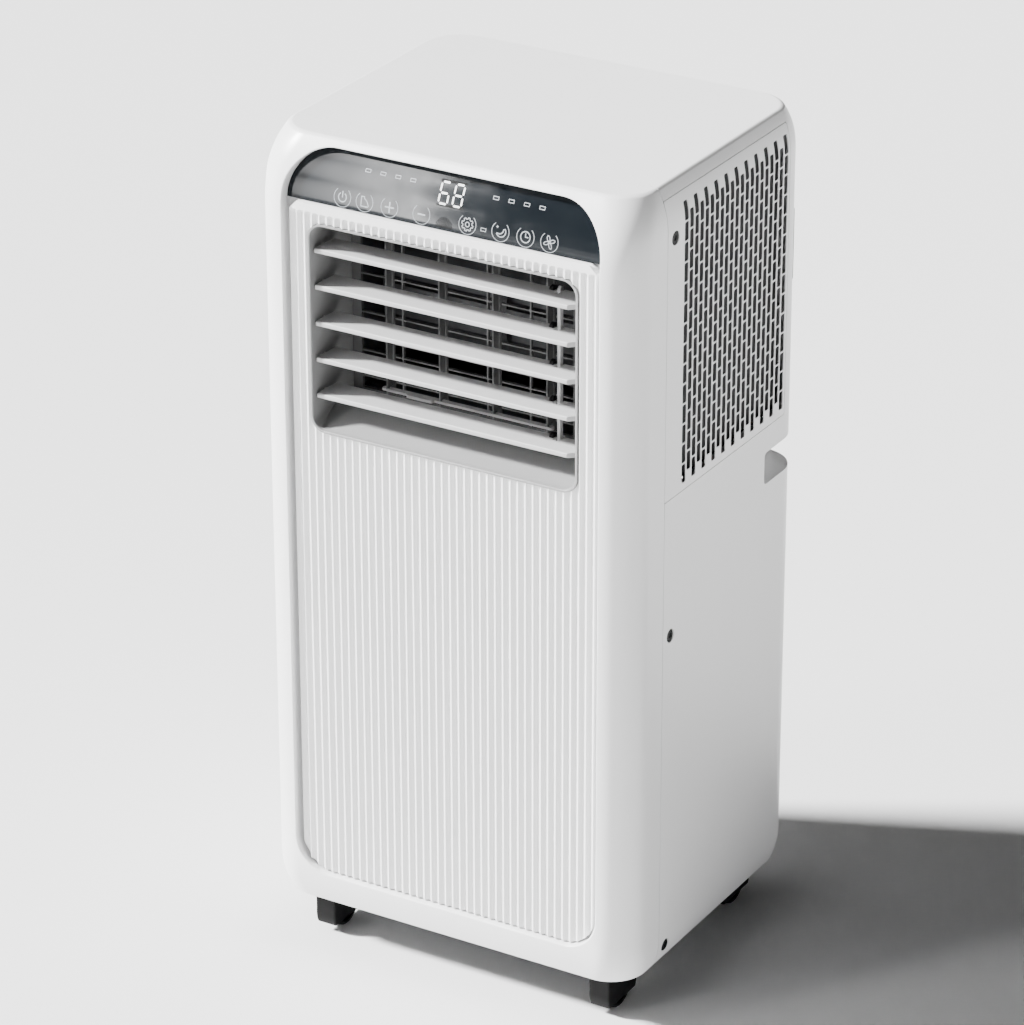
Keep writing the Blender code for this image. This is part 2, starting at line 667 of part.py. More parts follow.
def side_screws():
    for side in (1, -1):
        for level, height in SCREW_HEIGHTS.items():
            face = side_face(height)
            reach = sorted((side * (face - 2 * WALL), side * (face - SNUG)))
            rod("side_screw_%s_%s" % (SIDE_NAMES[side], level), "x", (SEAM + SCREW_SETBACK, height),
                SCREW_RADIUS, *reach, BLACK, sides=16)


# ---------------------------------------------------------------- air outlet
def outlet_frame():
    front, back = FRONT + PANEL_DEPTH, FRONT + OUTLET_BACK
    frame = outline("outlet_frame", outlet_outline(OUTLET_WALL), "y", front, back, GREY)
    cut(frame, outline("outlet_duct", outlet_outline(0.0), "y", front - BEYOND, back + BEYOND))
    sill = outline("outlet_sill", [(front + WALL, OUTLET_BOTTOM - OUTLET_WALL / 2),
                                   (back - SNUG, OUTLET_BOTTOM - OUTLET_WALL / 2),
                                   (back - SNUG, OUTLET_BOTTOM + SILL_RISE),
                                   (FRONT + VANE_PIVOT_DEPTH - VANE_CHORD / 2, OUTLET_BOTTOM + SILL_RISE)],
                   "x", -OUTLET_HALF - OUTLET_WALL / 2, OUTLET_HALF + OUTLET_WALL / 2)
    trim(sill, outline("sill_edge", outlet_outline(OUTLET_WALL / 2), "y", front, back))
    join(frame, sill)
    reach = OUTLET_HALF + 2 * OUTLET_WALL
    cut(frame, rods("blade_holes", "x", [(FRONT + BLADE_PIVOT_DEPTH, height) for height in BLADE_HEIGHTS],
                    PIN_RADIUS + GAP, -reach, reach),
        rods("vane_holes", "z", [(across, FRONT + VANE_PIVOT_DEPTH) for across in VANE_PLACES],
             PIN_RADIUS + GAP, OUTLET_BOTTOM - BEYOND, OUTLET_TOP + BEYOND))
    return frame


def outlet_grille():
    """The fixed finger guard behind the vanes: a lattice inside the duct."""
    front, back = FRONT + GRILLE_DEPTH, FRONT + GRILLE_DEPTH + GRILLE_THICK
    half, low, high = OUTLET_HALF - SNUG, OUTLET_BOTTOM + SILL_RISE + SNUG, OUTLET_TOP - SNUG
    corner = OUTLET_RADIUS
    edge = [(-half, low), (half, low)] + arc((half - corner, high - corner), corner, 0, 90, 3)
    edge += arc((corner - half, high - corner), corner, 90, 180, 3)
    grille = outline("outlet_grille", edge, "y", front, back, GREY)
    wide = (2 * half - GRILLE_BAR) / GRILLE_COLUMNS
    tall = (high - low - GRILLE_BAR) / GRILLE_ROWS
    border = 2 * GRILLE_BAR
    for column in range(GRILLE_COLUMNS):
        for row in range(GRILLE_ROWS):
            left, floor = -half + GRILLE_BAR + wide * column, low + GRILLE_BAR + tall * row
            inner = border if row == GRILLE_ROWS - 1 else 0.0
            cut(grille, box("grille_window_%d_%d" % (column, row), (left, front - BEYOND, floor),
                            (left + wide - GRILLE_BAR, back + BEYOND, floor + tall - GRILLE_BAR - inner)))
    return grille


def louver_blade(index):
    height = BLADE_HEIGHTS[index]
    pivot = FRONT + BLADE_PIVOT_DEPTH
    nose, tail = -BLADE_CHORD / 2, BLADE_CHORD / 2
    half = OUTLET_HALF - BLADE_END_GAP
    section = [(nose, -BLADE_NOSE / 2), (nose + BLADE_NOSE, -BLADE_NOSE / 2), (tail, -BLADE_TAIL / 2),
               (tail, BLADE_TAIL / 2), (nose + BLADE_NOSE, BLADE_NOSE / 2), (nose, BLADE_NOSE / 2)]
    blade = outline("louver_blade_%d" % (index + 1), section, "x", -half, half, GREY)
    join(blade, rod("blade_pin_%d" % index, "x", (0.0, 0.0), PIN_RADIUS, -half - PIN_REACH,
                    half + PIN_REACH, sides=12))
    fork = LINK_WIDTH / 2 + 2 * SNUG
    cut(blade, box("blade_fork_%d" % index, (LINK_X - fork, LINK_ARM - FORK_REACH, -BLADE_NOSE),
                   (LINK_X + fork, BLADE_CHORD, BLADE_NOSE)))
    join(blade, rod("blade_peg_%d" % index, "x", (LINK_ARM, 0.0), PEG_RADIUS, LINK_X - fork - WALL,
                    LINK_X + fork + WALL, sides=10))
    corner = [(half + BEYOND, nose - BEYOND), (half + BEYOND, nose + BLADE_NOSE),
              (half - BLADE_NOSE - BEYOND, nose - BEYOND)]
    cut(blade, outline("blade_corner_%d" % index, corner, "z", -BLADE_NOSE, BLADE_NOSE))
    pivot_point = bpy.data.objects.new("blade_axis_%d" % (index + 1), None)
    PARTS.objects.link(pivot_point)
    pivot_point.location = (0.0, pivot, height)
    for piece in (blade, *[step.object for step in blade.modifiers]):
        piece.parent = pivot_point
    return blade


def louver_link():
    """The upright bar that ties the five blades together at their pegs."""
    along = FRONT + BLADE_PIVOT_DEPTH + LINK_ARM
    low, high = BLADE_HEIGHTS[-1] - LINK_DEPTH, BLADE_HEIGHTS[0] + LINK_DEPTH
    bar = box("louver_link", (LINK_X - LINK_WIDTH / 2, along - LINK_DEPTH / 2, low),
              (LINK_X + LINK_WIDTH / 2, along + LINK_DEPTH / 2, high), GREY)
    cut(bar, rods("link_holes", "x", [(along, height) for height in BLADE_HEIGHTS], PEG_RADIUS + GAP,
                  LINK_X - BEYOND, LINK_X + BEYOND, sides=10))
    return bar


def swing_motor():
    """The small motor on the right wall of the duct that turns the third blade."""
    centre = (FRONT + BLADE_PIVOT_DEPTH, BLADE_HEIGHTS[BLADES // 2])
    near = OUTLET_HALF + OUTLET_WALL + GAP
    motor = rod("swing_motor", "x", centre, MOTOR_RADIUS, near, near + MOTOR_LENGTH, DARK, sides=28)
    ears = box("motor_ears", (near, centre[0] - WALL, centre[1] - MOTOR_RADIUS - 2 * WALL),
               (near + WALL, centre[0] + WALL, centre[1] + MOTOR_RADIUS + 2 * WALL))
    join(motor, ears)
    cut(motor, rod("motor_bore", "x", centre, PIN_RADIUS + GAP, near - BEYOND, near + PIN_REACH + WALL,
                   sides=12))
    return motor


def vane(index):
    """An upright vane on pins at its top and bottom, notched for the bar that ties it to the others."""
    pivot = FRONT + VANE_PIVOT_DEPTH
    low, high = OUTLET_BOTTOM + SILL_RISE + 2 * SNUG, OUTLET_TOP - 2 * SNUG
    blade = box("vane_%d" % (index + 1), (-VANE_THICK / 2, -VANE_CHORD / 2, low),
                (VANE_THICK / 2, VANE_CHORD / 2, high), GREY)
    join(blade, rod("vane_pin_%d" % index, "z", (0.0, 0.0), PIN_RADIUS, low - WALL, high + WALL, sides=12))
    notch = VANE_LINK_HEIGHT / 2 + SNUG
    reach = VANE_CHORD / 2 - VANE_ARM + VANE_LINK_WIDTH
    cut(blade, box("vane_notch_%d" % index, (-VANE_THICK, -VANE_CHORD, VANE_LINK_Z - notch),
                   (VANE_THICK, reach - VANE_CHORD / 2, VANE_LINK_Z + notch)))
    join(blade, rod("vane_peg_%d" % index, "z", (0.0, -VANE_ARM), PEG_RADIUS, VANE_LINK_Z - notch - WALL,
                    VANE_LINK_Z + notch + WALL, sides=10))
    axis = bpy.data.objects.new("vane_axis_%d" % (index + 1), None)
    PARTS.objects.link(axis)
    axis.location = (VANE_PLACES[index], pivot, 0.0)
    for piece in (blade, *[step.object for step in blade.modifiers]):
        piece.parent = axis
    return blade


def vane_link():
    """The level bar that ties the vanes together, with the thumb tab that sets them."""
    along = FRONT + VANE_PIVOT_DEPTH - VANE_ARM
    ends = VANE_PLACES[-1] + VANE_LINK_WIDTH
    half = VANE_LINK_HEIGHT / 2
    bar = box("vane_link", (-ends, along - VANE_LINK_WIDTH / 2, VANE_LINK_Z - half),
              (ends, along + VANE_LINK_WIDTH / 2, VANE_LINK_Z + half), GREY)
    left = VANE_PLACES[1] - VANE_THICK - TAB_LENGTH - VANE_LINK_WIDTH
    right = left + TAB_LENGTH
    tab = [(left, along), (left + VANE_LINK_WIDTH, along - TAB_REACH), (right, along - TAB_REACH),
           (right + VANE_LINK_WIDTH / 2, along)]
    join(bar, outline("vane_tab", tab, "z", VANE_LINK_Z - half, VANE_LINK_Z + half + SNUG))
    cut(bar, rods("vane_link_holes", "z", [(across, along) for across in VANE_PLACES], PEG_RADIUS + GAP,
                  VANE_LINK_Z - BEYOND, VANE_LINK_Z + BEYOND))
    return bar


# ---------------------------------------------------------------- inside
def control_board():
    """The flat board behind the lens."""
    front = FRONT + BOARD_DEPTH
    box("control_board", (-BOARD_HALF, front, LENS_BOTTOM),
        (BOARD_HALF, front + BOARD_THICK, LENS_BOTTOM + BOARD_HEIGHT), BOARD)


def base_pan():
    """The tray that closes the bottom, catches water and carries the casters and the compressor."""
    low = BASE_Z + WALL + GAP
    half, front, rear = WIDTH / 2 - PAN_INSET, FRONT + PAN_FRONT, REAR - PAN_INSET
    plan = rounded(half, front, rear, PLAN_RADIUS / 2, steps=4)
    inner = rounded(half - WALL, front + WALL, rear - WALL, PLAN_RADIUS / 2 - WALL, steps=4)
    pan = outline("base_pan", plan, "z", low, low + PAN_HEIGHT, DARK)
    cut(pan, outline("pan_hollow", inner, "z", low + WALL, low + PAN_HEIGHT + BEYOND))
    return pan


def blower():
    """The double-inlet blower, its scroll and its motor, behind the outlet."""
    centre = (WHEEL_Y, WHEEL_Z)
    mouth = FRONT + OUTLET_BACK + GAP
    scroll = rod("blower_scroll", "x", centre, SCROLL_RADIUS, -SCROLL_HALF, SCROLL_HALF, DARK, sides=32)
    low, high = OUTLET_BOTTOM + SILL_RISE, OUTLET_TOP - OUTLET_WALL
    join(scroll, box("scroll_neck", (-SCROLL_HALF, mouth, low), (SCROLL_HALF, WHEEL_Y, high)))
    inner = SCROLL_HALF - WALL
    cut(scroll, rod("scroll_hollow", "x", centre, SCROLL_RADIUS - WALL, -inner, inner, sides=32),
        box("neck_hollow", (-inner, mouth - BEYOND, low + WALL), (inner, WHEEL_Y, high - WALL)),
        rod("scroll_inlets", "x", centre, INLET_RADIUS, -SCROLL_HALF - BEYOND, SCROLL_HALF + BEYOND, sides=32))
    sides = WHEEL_BLADES * 2
    wheel = rod("blower_wheel", "x", centre, WHEEL_RADIUS, -WHEEL_HALF, WHEEL_HALF, DARK, sides)
    hub = WHEEL_RADIUS - 4 * WALL
    cut(wheel, rod("wheel_eye", "x", centre, hub, -WHEEL_HALF - BEYOND, -WALL / 2, sides=sides),
        rod("wheel_eye_far", "x", centre, hub, WALL / 2, WHEEL_HALF + BEYOND, sides=sides))
    for index in range(WHEEL_BLADES):
        turn = 2 * math.pi * (index + 0.5) / WHEEL_BLADES
        middle = (WHEEL_Y + WHEEL_RADIUS * math.cos(turn), WHEEL_Z + WHEEL_RADIUS * math.sin(turn))
        for side in (1, -1):
            ends = sorted((side * 2 * WALL, side * (WHEEL_HALF - 2 * WALL)))
            cut(wheel, rod("wheel_gap_%d_%d" % (index, side), "x", middle, 3 * WALL, *ends, sides=6))
    join(wheel, rod("wheel_shaft", "x", centre, SHAFT_RADIUS, -WALL, SCROLL_HALF + 2 * BEYOND, sides=12))
    near = SCROLL_HALF + 3 * WALL
    motor = rod("blower_motor", "x", centre, INLET_RADIUS - 4 * WALL, near, near + MOTOR_DEPTH, STEEL)
    cut(motor, rod("blower_motor_bore", "x", centre, SHAFT_RADIUS + GAP, near - BEYOND,
                   SCROLL_HALF + 2 * BEYOND + WALL, sides=12))


def evaporator_and_tray():
    back = REAR - COIL_BACK
    box("evaporator", (-COIL_HALF, back - COIL_THICK, TRAY_Z + 4 * WALL),
        (COIL_HALF, back, HEIGHT - 4 * BEYOND), FINS)
    half, front, rear = WIDTH / 2 - HANDLE_REACH - 2 * WALL, FRONT + PAN_FRONT, REAR - 4 * WALL
    tray = box("drip_tray", (-half, front, TRAY_Z - WALL), (half, rear, TRAY_Z + 3 * WALL), DARK)
    cut(tray, box("tray_hollow", (WALL - half, front + WALL, TRAY_Z),
                  (half - WALL, rear - WALL, TRAY_Z + BEYOND)))


def deck_floor():
    """The level on which the pieces in the base pan stand."""
    return BASE_Z + 2 * WALL + 2 * GAP


def compressor():
    """The compressor on its three-cornered foot plate, with the suction tank strapped beside it."""
    floor = deck_floor()
    centre = (COMPRESSOR_X, COMPRESSOR_Y)
    body = COMPRESSOR_RADIUS
    top = floor + COMPRESSOR_HEIGHT
    neck, shoulder, heel, foot = top - body * 0.3, top - body * 0.7, floor + body * 0.6, floor + body * 0.35
    profile = [(0, top), (body * 0.35, top), (body * 0.8, neck), (body, shoulder), (body, heel),
               (body * 0.8, foot), (body * 0.8, floor + FOOT_LIFT), (0, floor + FOOT_LIFT)]
    made = turned("compressor", profile, "z", centre, PAINTED)
    foot_z = floor + FOOT_LIFT
    plate = rod("compressor_feet", "z", centre, body * 1.35, foot_z, foot_z + WALL, sides=3)
    can = (COMPRESSOR_X + TANK_OFFSET[0], COMPRESSOR_Y + TANK_OFFSET[1])
    tank = rod("suction_tank", "z", can, TANK_RADIUS, floor + TANK_BOTTOM, floor + TANK_TOP, sides=20)
    middle = floor + (TANK_BOTTOM + TANK_TOP) / 2
    strap = box("tank_strap", (COMPRESSOR_X, can[1] - 2 * WALL, middle - 2 * WALL),
                (can[0], can[1] + 2 * WALL, middle + 2 * WALL))
    join(made, plate, tank, strap)
    spots = []
    for index in range(3):
        turn = 2 * math.pi * index / 3
        reach = body * 1.14
        spots.append((centre[0] + reach * math.sin(turn), centre[1] + reach * math.cos(turn)))
    cut(made, rods("foot_holes", "z", spots, SHAFT_RADIUS, floor, floor + BEYOND + FOOT_LIFT))


def pipes():
    """The suction pipe from the tank up to the evaporator, and the discharge pipe to the condenser."""
    floor = deck_floor()
    can = (COMPRESSOR_X + TANK_OFFSET[0], COMPRESSOR_Y + TANK_OFFSET[1])
    start = floor + TANK_TOP + SNUG
    pipe("suction_pipe", [(*can, start), (*can, TRAY_Z - 0.045), (can[0], can[1] + 0.037, TRAY_Z - 0.020)])
    top = floor + COMPRESSOR_HEIGHT + SNUG
    bend_z = EXHAUST_Z - 0.010
    pipe("discharge_pipe", [(COMPRESSOR_X, COMPRESSOR_Y, top), (COMPRESSOR_X, COMPRESSOR_Y, bend_z - 0.010),
                            (COMPRESSOR_X - 0.035, COMPRESSOR_Y + 0.035, bend_z),
                            (COMPRESSOR_X - 0.035, COMPRESSOR_Y + 0.105, bend_z)])


def lower_deck():
    """Condenser, exhaust fan, its shroud and its motor, standing on the pan."""
    floor = deck_floor()
    back = REAR - COIL_BACK
    box("condenser", (-COIL_HALF, back - COIL_THICK, floor),
        (COIL_HALF, back, EXHAUST_Z - EXHAUST_RADIUS - 1.5 * BEYOND), FINS)
    fan_y = back - COIL_THICK - FAN_SETBACK
    reach, deep = FAN_RADIUS + BEYOND, SHROUD_DEPTH / 2
    centre = (0.0, FAN_Z)
    shroud = box("fan_shroud", (-reach, fan_y - deep, floor), (reach, fan_y + deep, FAN_Z + reach), DARK)
    cut(shroud, rod("shroud_bore", "y", centre, FAN_RADIUS, fan_y - 2 * deep, fan_y + 2 * deep, sides=32))
    fan = rod("exhaust_fan", "y", centre, FAN_HUB, fan_y - deep + WALL, fan_y + deep / 2, DARK, sides=20)
    for index in range(FAN_BLADES):
        blade = box("fan_blade_%d" % index, (FAN_HUB * 0.8, -FAN_BLADE_WIDTH / 2, -FAN_BLADE_THICK / 2),
                    (FAN_RADIUS - FAN_TIP_CLEAR, FAN_BLADE_WIDTH / 2, FAN_BLADE_THICK / 2))
        turn_fan_blade(blade, 2 * math.pi * index / FAN_BLADES, fan_y)
        join(fan, blade)
    cut(fan, rod("fan_bore", "y", centre, SHAFT_RADIUS, fan_y - 2 * deep, fan_y, sides=12))
    near = fan_y - deep - 2 * WALL - GAP
    motor = rod("exhaust_fan_motor", "y", centre, FAN_MOTOR_RADIUS, near - FAN_MOTOR_LENGTH, near, STEEL)
    shaft = rod("fan_motor_shaft", "y", centre, SHAFT_RADIUS - GAP, near - deep, fan_y - 2 * GAP, sides=12)
    join(motor, shaft)


def turn_fan_blade(blade, turn, along):
    """Pitch a fan blade, then swing it to its place round the hub."""
    tilt = math.radians(FAN_PITCH)
    for vertex in blade.data.vertices:
        across, deep, thick = vertex.co
        back = deep * math.cos(tilt) - thick * math.sin(tilt)
        rise = deep * math.sin(tilt) + thick * math.cos(tilt)
        vertex.co = (across * math.cos(turn) - rise * math.sin(turn), along + back,
                     FAN_Z + across * math.sin(turn) + rise * math.cos(turn))


def electrics():
    box("electrical_box", ELECTRICS_LOW, ELECTRICS_HIGH, BOX)
    spot = ((ELECTRICS_LOW[0] + ELECTRICS_HIGH[0]) / 2, (ELECTRICS_LOW[1] + ELECTRICS_HIGH[1]) / 2)
    rod("run_capacitor", "z", spot, CAPACITOR_RADIUS, ELECTRICS_HIGH[2] + GAP,
        ELECTRICS_HIGH[2] + CAPACITOR_HEIGHT, STEEL)


def pipe(name, points):
    """A bent pipe through its corners."""
    curve = bpy.data.curves.new(name, "CURVE")
    curve.dimensions = "3D"
    curve.bevel_depth = PIPE_RADIUS
    curve.bevel_resolution = 2
    curve.use_fill_caps = True
    spline = curve.splines.new("POLY")
    spline.points.add(len(points) - 1)
    for spot, point in zip(spline.points, points):
        spot.co = (*point, 1.0)
    made = bpy.data.objects.new(name, curve)
    curve.materials.append(COPPER)
    PARTS.objects.link(made)
    return made


# ---------------------------------------------------------------- casters
def caster(mark, across, along):
    """A hooded caster: the hood swivels on its stem and the wheel turns on an axle under it."""
    seat = BASE_Z + WALL
    axle = along + CASTER_TRAIL
    top = BASE_Z - SNUG
    rim = CASTER_RADIUS + 2 * GAP
    crown = CASTER_RADIUS + HOOD_CLEAR
    start = math.degrees(math.asin((HOOD_BOTTOM - CASTER_RADIUS) / crown))
    end = math.degrees(math.asin(min((top - CASTER_RADIUS) / crown, 1.0)))
    side = arc((axle, CASTER_RADIUS), crown, start, end)
    nose = along - STEM_RADIUS - WALL
    side += [(nose, top), (nose, CASTER_RADIUS), (along - WALL, HOOD_BOTTOM)]
    hood = outline("caster_hood_" + mark, side, "x", across - HOOD_WIDTH / 2, across + HOOD_WIDTH / 2, BLACK)
    cut(hood, rod("wheel_well_" + mark, "x", (axle, CASTER_RADIUS), rim, across - TREAD_WIDTH / 2 - 2 * GAP,
                  across + TREAD_WIDTH / 2 + 2 * GAP, sides=24))
    join(hood, rod("axle_" + mark, "x", (axle, CASTER_RADIUS), AXLE_RADIUS, across - HOOD_WIDTH / 2 + WALL,
                   across + HOOD_WIDTH / 2 - WALL, sides=12))
    join(hood, rod("stem_" + mark, "z", (across, along), STEM_RADIUS, top - WALL, seat, sides=16))
    wheel = rod("caster_wheel_" + mark, "x", (axle, CASTER_RADIUS), CASTER_RADIUS, across - TREAD_WIDTH / 2,
                across + TREAD_WIDTH / 2, BLACK, sides=28)
    cut(wheel, rod("wheel_bore_" + mark, "x", (axle, CASTER_RADIUS), AXLE_RADIUS + GAP, across - HOOD_WIDTH,
                   across + HOOD_WIDTH, sides=12))


def build():
    front_casing()
    front_panel()
    control_panel()
    rear_casing()
    for side in (1, -1):
        side_grille(side)
    rear_covers()
    exhaust_collar()
    cord_cleat()
    rear_fittings()
    side_screws()
    outlet_frame()
    outlet_grille()
    for index in range(BLADES):
        louver_blade(index)
    louver_link()
    swing_motor()
    for index in range(VANES):
        vane(index)
    vane_link()
    control_board()
    base_pan()
    blower()
    evaporator_and_tray()
    compressor()
    lower_deck()
    electrics()
    pipes()
    for side in (1, -1):
        caster("front_" + SIDE_NAMES[side], side * CASTER_X, FRONT + CASTER_SETBACK)
        caster("rear_" + SIDE_NAMES[side], side * CASTER_X, REAR - CASTER_SETBACK - CASTER_TRAIL)


build()
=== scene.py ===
"""Looks of the portable air conditioner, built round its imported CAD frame.

Metres, +Z up, front toward -Y, origin on the floor under the middle of the overall box.
"""
import math

import bmesh
import bpy
from mathutils import Matrix, Vector


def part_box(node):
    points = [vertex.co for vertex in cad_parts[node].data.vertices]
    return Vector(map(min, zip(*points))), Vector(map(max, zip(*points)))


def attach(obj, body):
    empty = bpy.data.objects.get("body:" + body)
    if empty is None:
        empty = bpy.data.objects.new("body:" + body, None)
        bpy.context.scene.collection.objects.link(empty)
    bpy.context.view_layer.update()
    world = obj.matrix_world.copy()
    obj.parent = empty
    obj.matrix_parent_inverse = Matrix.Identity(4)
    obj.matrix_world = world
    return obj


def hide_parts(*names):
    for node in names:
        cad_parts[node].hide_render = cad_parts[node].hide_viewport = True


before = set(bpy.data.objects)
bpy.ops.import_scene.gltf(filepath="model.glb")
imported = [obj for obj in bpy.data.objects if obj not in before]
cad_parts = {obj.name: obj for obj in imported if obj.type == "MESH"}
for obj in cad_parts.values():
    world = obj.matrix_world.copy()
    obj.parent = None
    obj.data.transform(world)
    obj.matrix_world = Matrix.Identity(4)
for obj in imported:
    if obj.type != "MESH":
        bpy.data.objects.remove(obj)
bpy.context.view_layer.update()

# ---------------------------------------------------------------- sizes
HALF_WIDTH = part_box("rear_casing")[1].x
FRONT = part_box("front_casing")[0].y
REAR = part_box("rear_grille")[1].y
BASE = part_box("rear_casing")[0].z
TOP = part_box("rear_casing")[1].z
SEAM = FRONT + 0.052
WALL = 0.0025
PLAN_RADIUS = 0.030
SIDE_RADIUS, SIDE_TOP_INSET, SIDE_BASE_INSET = 0.070, 0.009, 0.005
FRONT_RADIUS, FRONT_TOP_INSET, FRONT_BASE_INSET = 0.090, 0.022, 0.009
REAR_RADIUS, REAR_INSET = 0.070, 0.0047
EDGE = 0.0022

RECESS_HALF, RECESS_LOW, RECESS_HIGH = 0.1369, 0.0715, 0.6855
RECESS_LOW_RADIUS, RECESS_HIGH_RADIUS = 0.030, 0.040
RECESS_DEPTH = 0.0125
LENS_DEPTH, LENS_LOW = 0.008, 0.643
PANEL_DEPTH, PANEL_TOP, GROOVE = 0.0045, 0.6424, 0.0045
FLUTES, FLUTE_DEPTH, FLUTE_STRIP = 40, 0.0022, 0.0065
OUTLET_HALF, OUTLET_LOW, OUTLET_HIGH, OUTLET_RADIUS = 0.115, 0.4585, 0.6255, 0.011
OUTLET_WALL, OUTLET_BACK, SILL_RISE = 0.002, 0.070, 0.011
PIVOT_Y = FRONT + 0.022
VANE_Y = FRONT + 0.049
GRILLE_Y = FRONT + 0.062
LINK_X = 0.086
PEG_Y = PIVOT_Y + 0.011
BLADE_TOP, BLADE_PITCH = 0.6035, 0.0297
VANE_PITCH = 0.047
VANE_PEG_Y = VANE_Y - 0.007
VANE_LINK_Z = 0.487

SCREW_Y = SEAM + 0.012
SCREW_TOP, SCREW_MIDDLE, SCREW_BOTTOM, SCREW_HOLE = 0.651, 0.327, 0.0565, 0.0056
POCKET_FRONT, POCKET_LOW, POCKET_HIGH, POCKET_DEEP = FRONT + 0.2125, 0.393, 0.420, 0.027
COLLAR_Z, COLLAR_BORE, COLLAR_OUTSIDE = 0.350, 0.065, 0.068
GLAND_X, GLAND_Z = 0.110, 0.110
PLUG_X, PLUG_LOWER_Z, PLUG_UPPER_Z = -0.110, 0.078, 0.440
INTAKE_SLOTS, INTAKE_LOW, INTAKE_PITCH, INTAKE_HALF = 7, 0.110, 0.02, 0.085

ICON_Z, INDICATOR_LOW, INDICATOR_HIGH, DISPLAY_Z = 651.0, 671.9, 673.9, 669
RECEIVER_X, RECEIVER_Z, RECEIVER_STEP = 0.5, 645.2, 1.15
WORLD_LIGHT, KEY_LIGHT, FILL_LIGHT, CARD_LIGHT = 0.06, 19.0, 5.0, 70.0


# ---------------------------------------------------------------- materials
def nodes_of(name):
    made = bpy.data.materials.new(name)
    made.use_nodes = True
    tree = made.node_tree
    return made, tree, tree.nodes["Principled BSDF"]


def wire(tree, a, out, b, into):
    tree.links.new(a.outputs[out], b.inputs[into])


def noise(tree, scale, detail=3.0, stretch=(1, 1, 1)):
    where = tree.nodes.new("ShaderNodeTexCoord")
    turn = tree.nodes.new("ShaderNodeMapping")
    turn.inputs["Scale"].default_value = stretch
    made = tree.nodes.new("ShaderNodeTexNoise")
    made.inputs["Scale"].default_value = scale
    made.inputs["Detail"].default_value = detail
    wire(tree, where, "Object", turn, "Vector")
    wire(tree, turn, "Vector", made, "Vector")
    return made


def span(tree, source, low, high, out="Fac"):
    ramp = tree.nodes.new("ShaderNodeMapRange")
    ramp.inputs["From Min"].default_value = 0.3
    ramp.inputs["From Max"].default_value = 0.7
    ramp.inputs["To Min"].default_value = low
    ramp.inputs["To Max"].default_value = high
    wire(tree, source, out, ramp, "Value")
    return ramp


def moulded(name, color, roughness, vary=0.03, grain=1400.0, depth=0.02, stretch=(1, 1, 1), metal=0.0,
            spread=0.05, coat=0.0, second=None):
    """A moulded or finished surface: faint cloudy colour, uneven gloss and a fine grain."""
    made, tree, shader = nodes_of(name)
    cloud = noise(tree, 14.0, 4.0)
    mix = tree.nodes.new("ShaderNodeMix")
    mix.data_type = "RGBA"
    mix.inputs["A"].default_value = (*[c * (1 - vary) for c in color], 1.0)
    mix.inputs["B"].default_value = (*(second or [min(1.0, c * (1 + vary)) for c in color]), 1.0)
    wire(tree, span(tree, cloud, 0.0, 1.0), "Result", mix, "Factor")
    wire(tree, mix, "Result", shader, "Base Color")
    fine = noise(tree, 60.0, 5.0, stretch)
    wire(tree, span(tree, fine, roughness - spread, roughness + spread), "Result", shader, "Roughness")
    bump = tree.nodes.new("ShaderNodeBump")
    bump.inputs["Strength"].default_value = depth
    bump.inputs["Distance"].default_value = 0.0004
    wire(tree, noise(tree, grain, 2.0, stretch), "Fac", bump, "Height")
    wire(tree, bump, "Normal", shader, "Normal")
    shader.inputs["Metallic"].default_value = metal
    shader.inputs["Coat Weight"].default_value = coat
    return made


def waves(name, color, dark, axis, scale, roughness, metal=0.0, depth=0.5, cross=None):
    """Fine parallel lines along an axis, such as fins, or a woven mesh where they cross."""
    made, tree, shader = nodes_of(name)
    where = tree.nodes.new("ShaderNodeTexCoord")
    heights = []
    for direction in [axis] + ([cross] if cross else []):
        line = tree.nodes.new("ShaderNodeTexWave")
        line.bands_direction = direction
        line.inputs["Scale"].default_value = scale
        line.inputs["Distortion"].default_value = 0.0
        wire(tree, where, "Object", line, "Vector")
        heights.append(line)
    top = heights[0]
    if cross:
        top = tree.nodes.new("ShaderNodeMath")
        top.operation = "MAXIMUM"
        tree.links.new(heights[0].outputs["Fac"], top.inputs[0])
        tree.links.new(heights[1].outputs["Fac"], top.inputs[1])
    out = "Value" if cross else "Fac"
    mix = tree.nodes.new("ShaderNodeMix")
    mix.data_type = "RGBA"
    mix.inputs["A"].default_value = (*dark, 1.0)
    mix.inputs["B"].default_value = (*color, 1.0)
    wire(tree, top, out, mix, "Factor")
    wire(tree, mix, "Result", shader, "Base Color")
    fine = noise(tree, 80.0)
    wire(tree, span(tree, fine, roughness - 0.06, roughness + 0.06), "Result", shader, "Roughness")
    bump = tree.nodes.new("ShaderNodeBump")
    bump.inputs["Strength"].default_value = depth
    bump.inputs["Distance"].default_value = 0.0005
    wire(tree, top, out, bump, "Height")
    wire(tree, bump, "Normal", shader, "Normal")
    shader.inputs["Metallic"].default_value = metal
    return made


WHITE = moulded("white_plastic", (0.80, 0.80, 0.80), 0.34, vary=0.008, depth=0.03)
FLUTED = moulded("fluted_plastic", (0.82, 0.82, 0.82), 0.40, vary=0.008, depth=0.03)
GREY = moulded("outlet_plastic", (0.43, 0.43, 0.43), 0.42, vary=0.02, depth=0.08, grain=1800)
# Painted shade: the outlet lattice and upright vanes get a near-black grey that stands in for the shade
# inside the outlet.
INNER_PAINTED_SHADE = moulded("outlet_inner_painted_shade", (0.10, 0.10, 0.10), 0.45, vary=0.02, depth=0.08, grain=1800)
# Painted shade: the outlet duct gets a dark grey that stands in for the shade on its inner walls.
DUCT_PAINTED_SHADE = moulded("outlet_duct", (0.24, 0.24, 0.24), 0.45, vary=0.02, depth=0.08, grain=1800)
LENS = moulded("lens_gloss", (0.006, 0.008, 0.010), 0.07, vary=0.05, depth=0.0, spread=0.02)
PRINT = moulded("lens_print", (0.36, 0.38, 0.40), 0.35, vary=0.02, depth=0.01)
BLACK = moulded("black_plastic", (0.003, 0.003, 0.003), 0.5, vary=0.2, depth=0.12, grain=900)
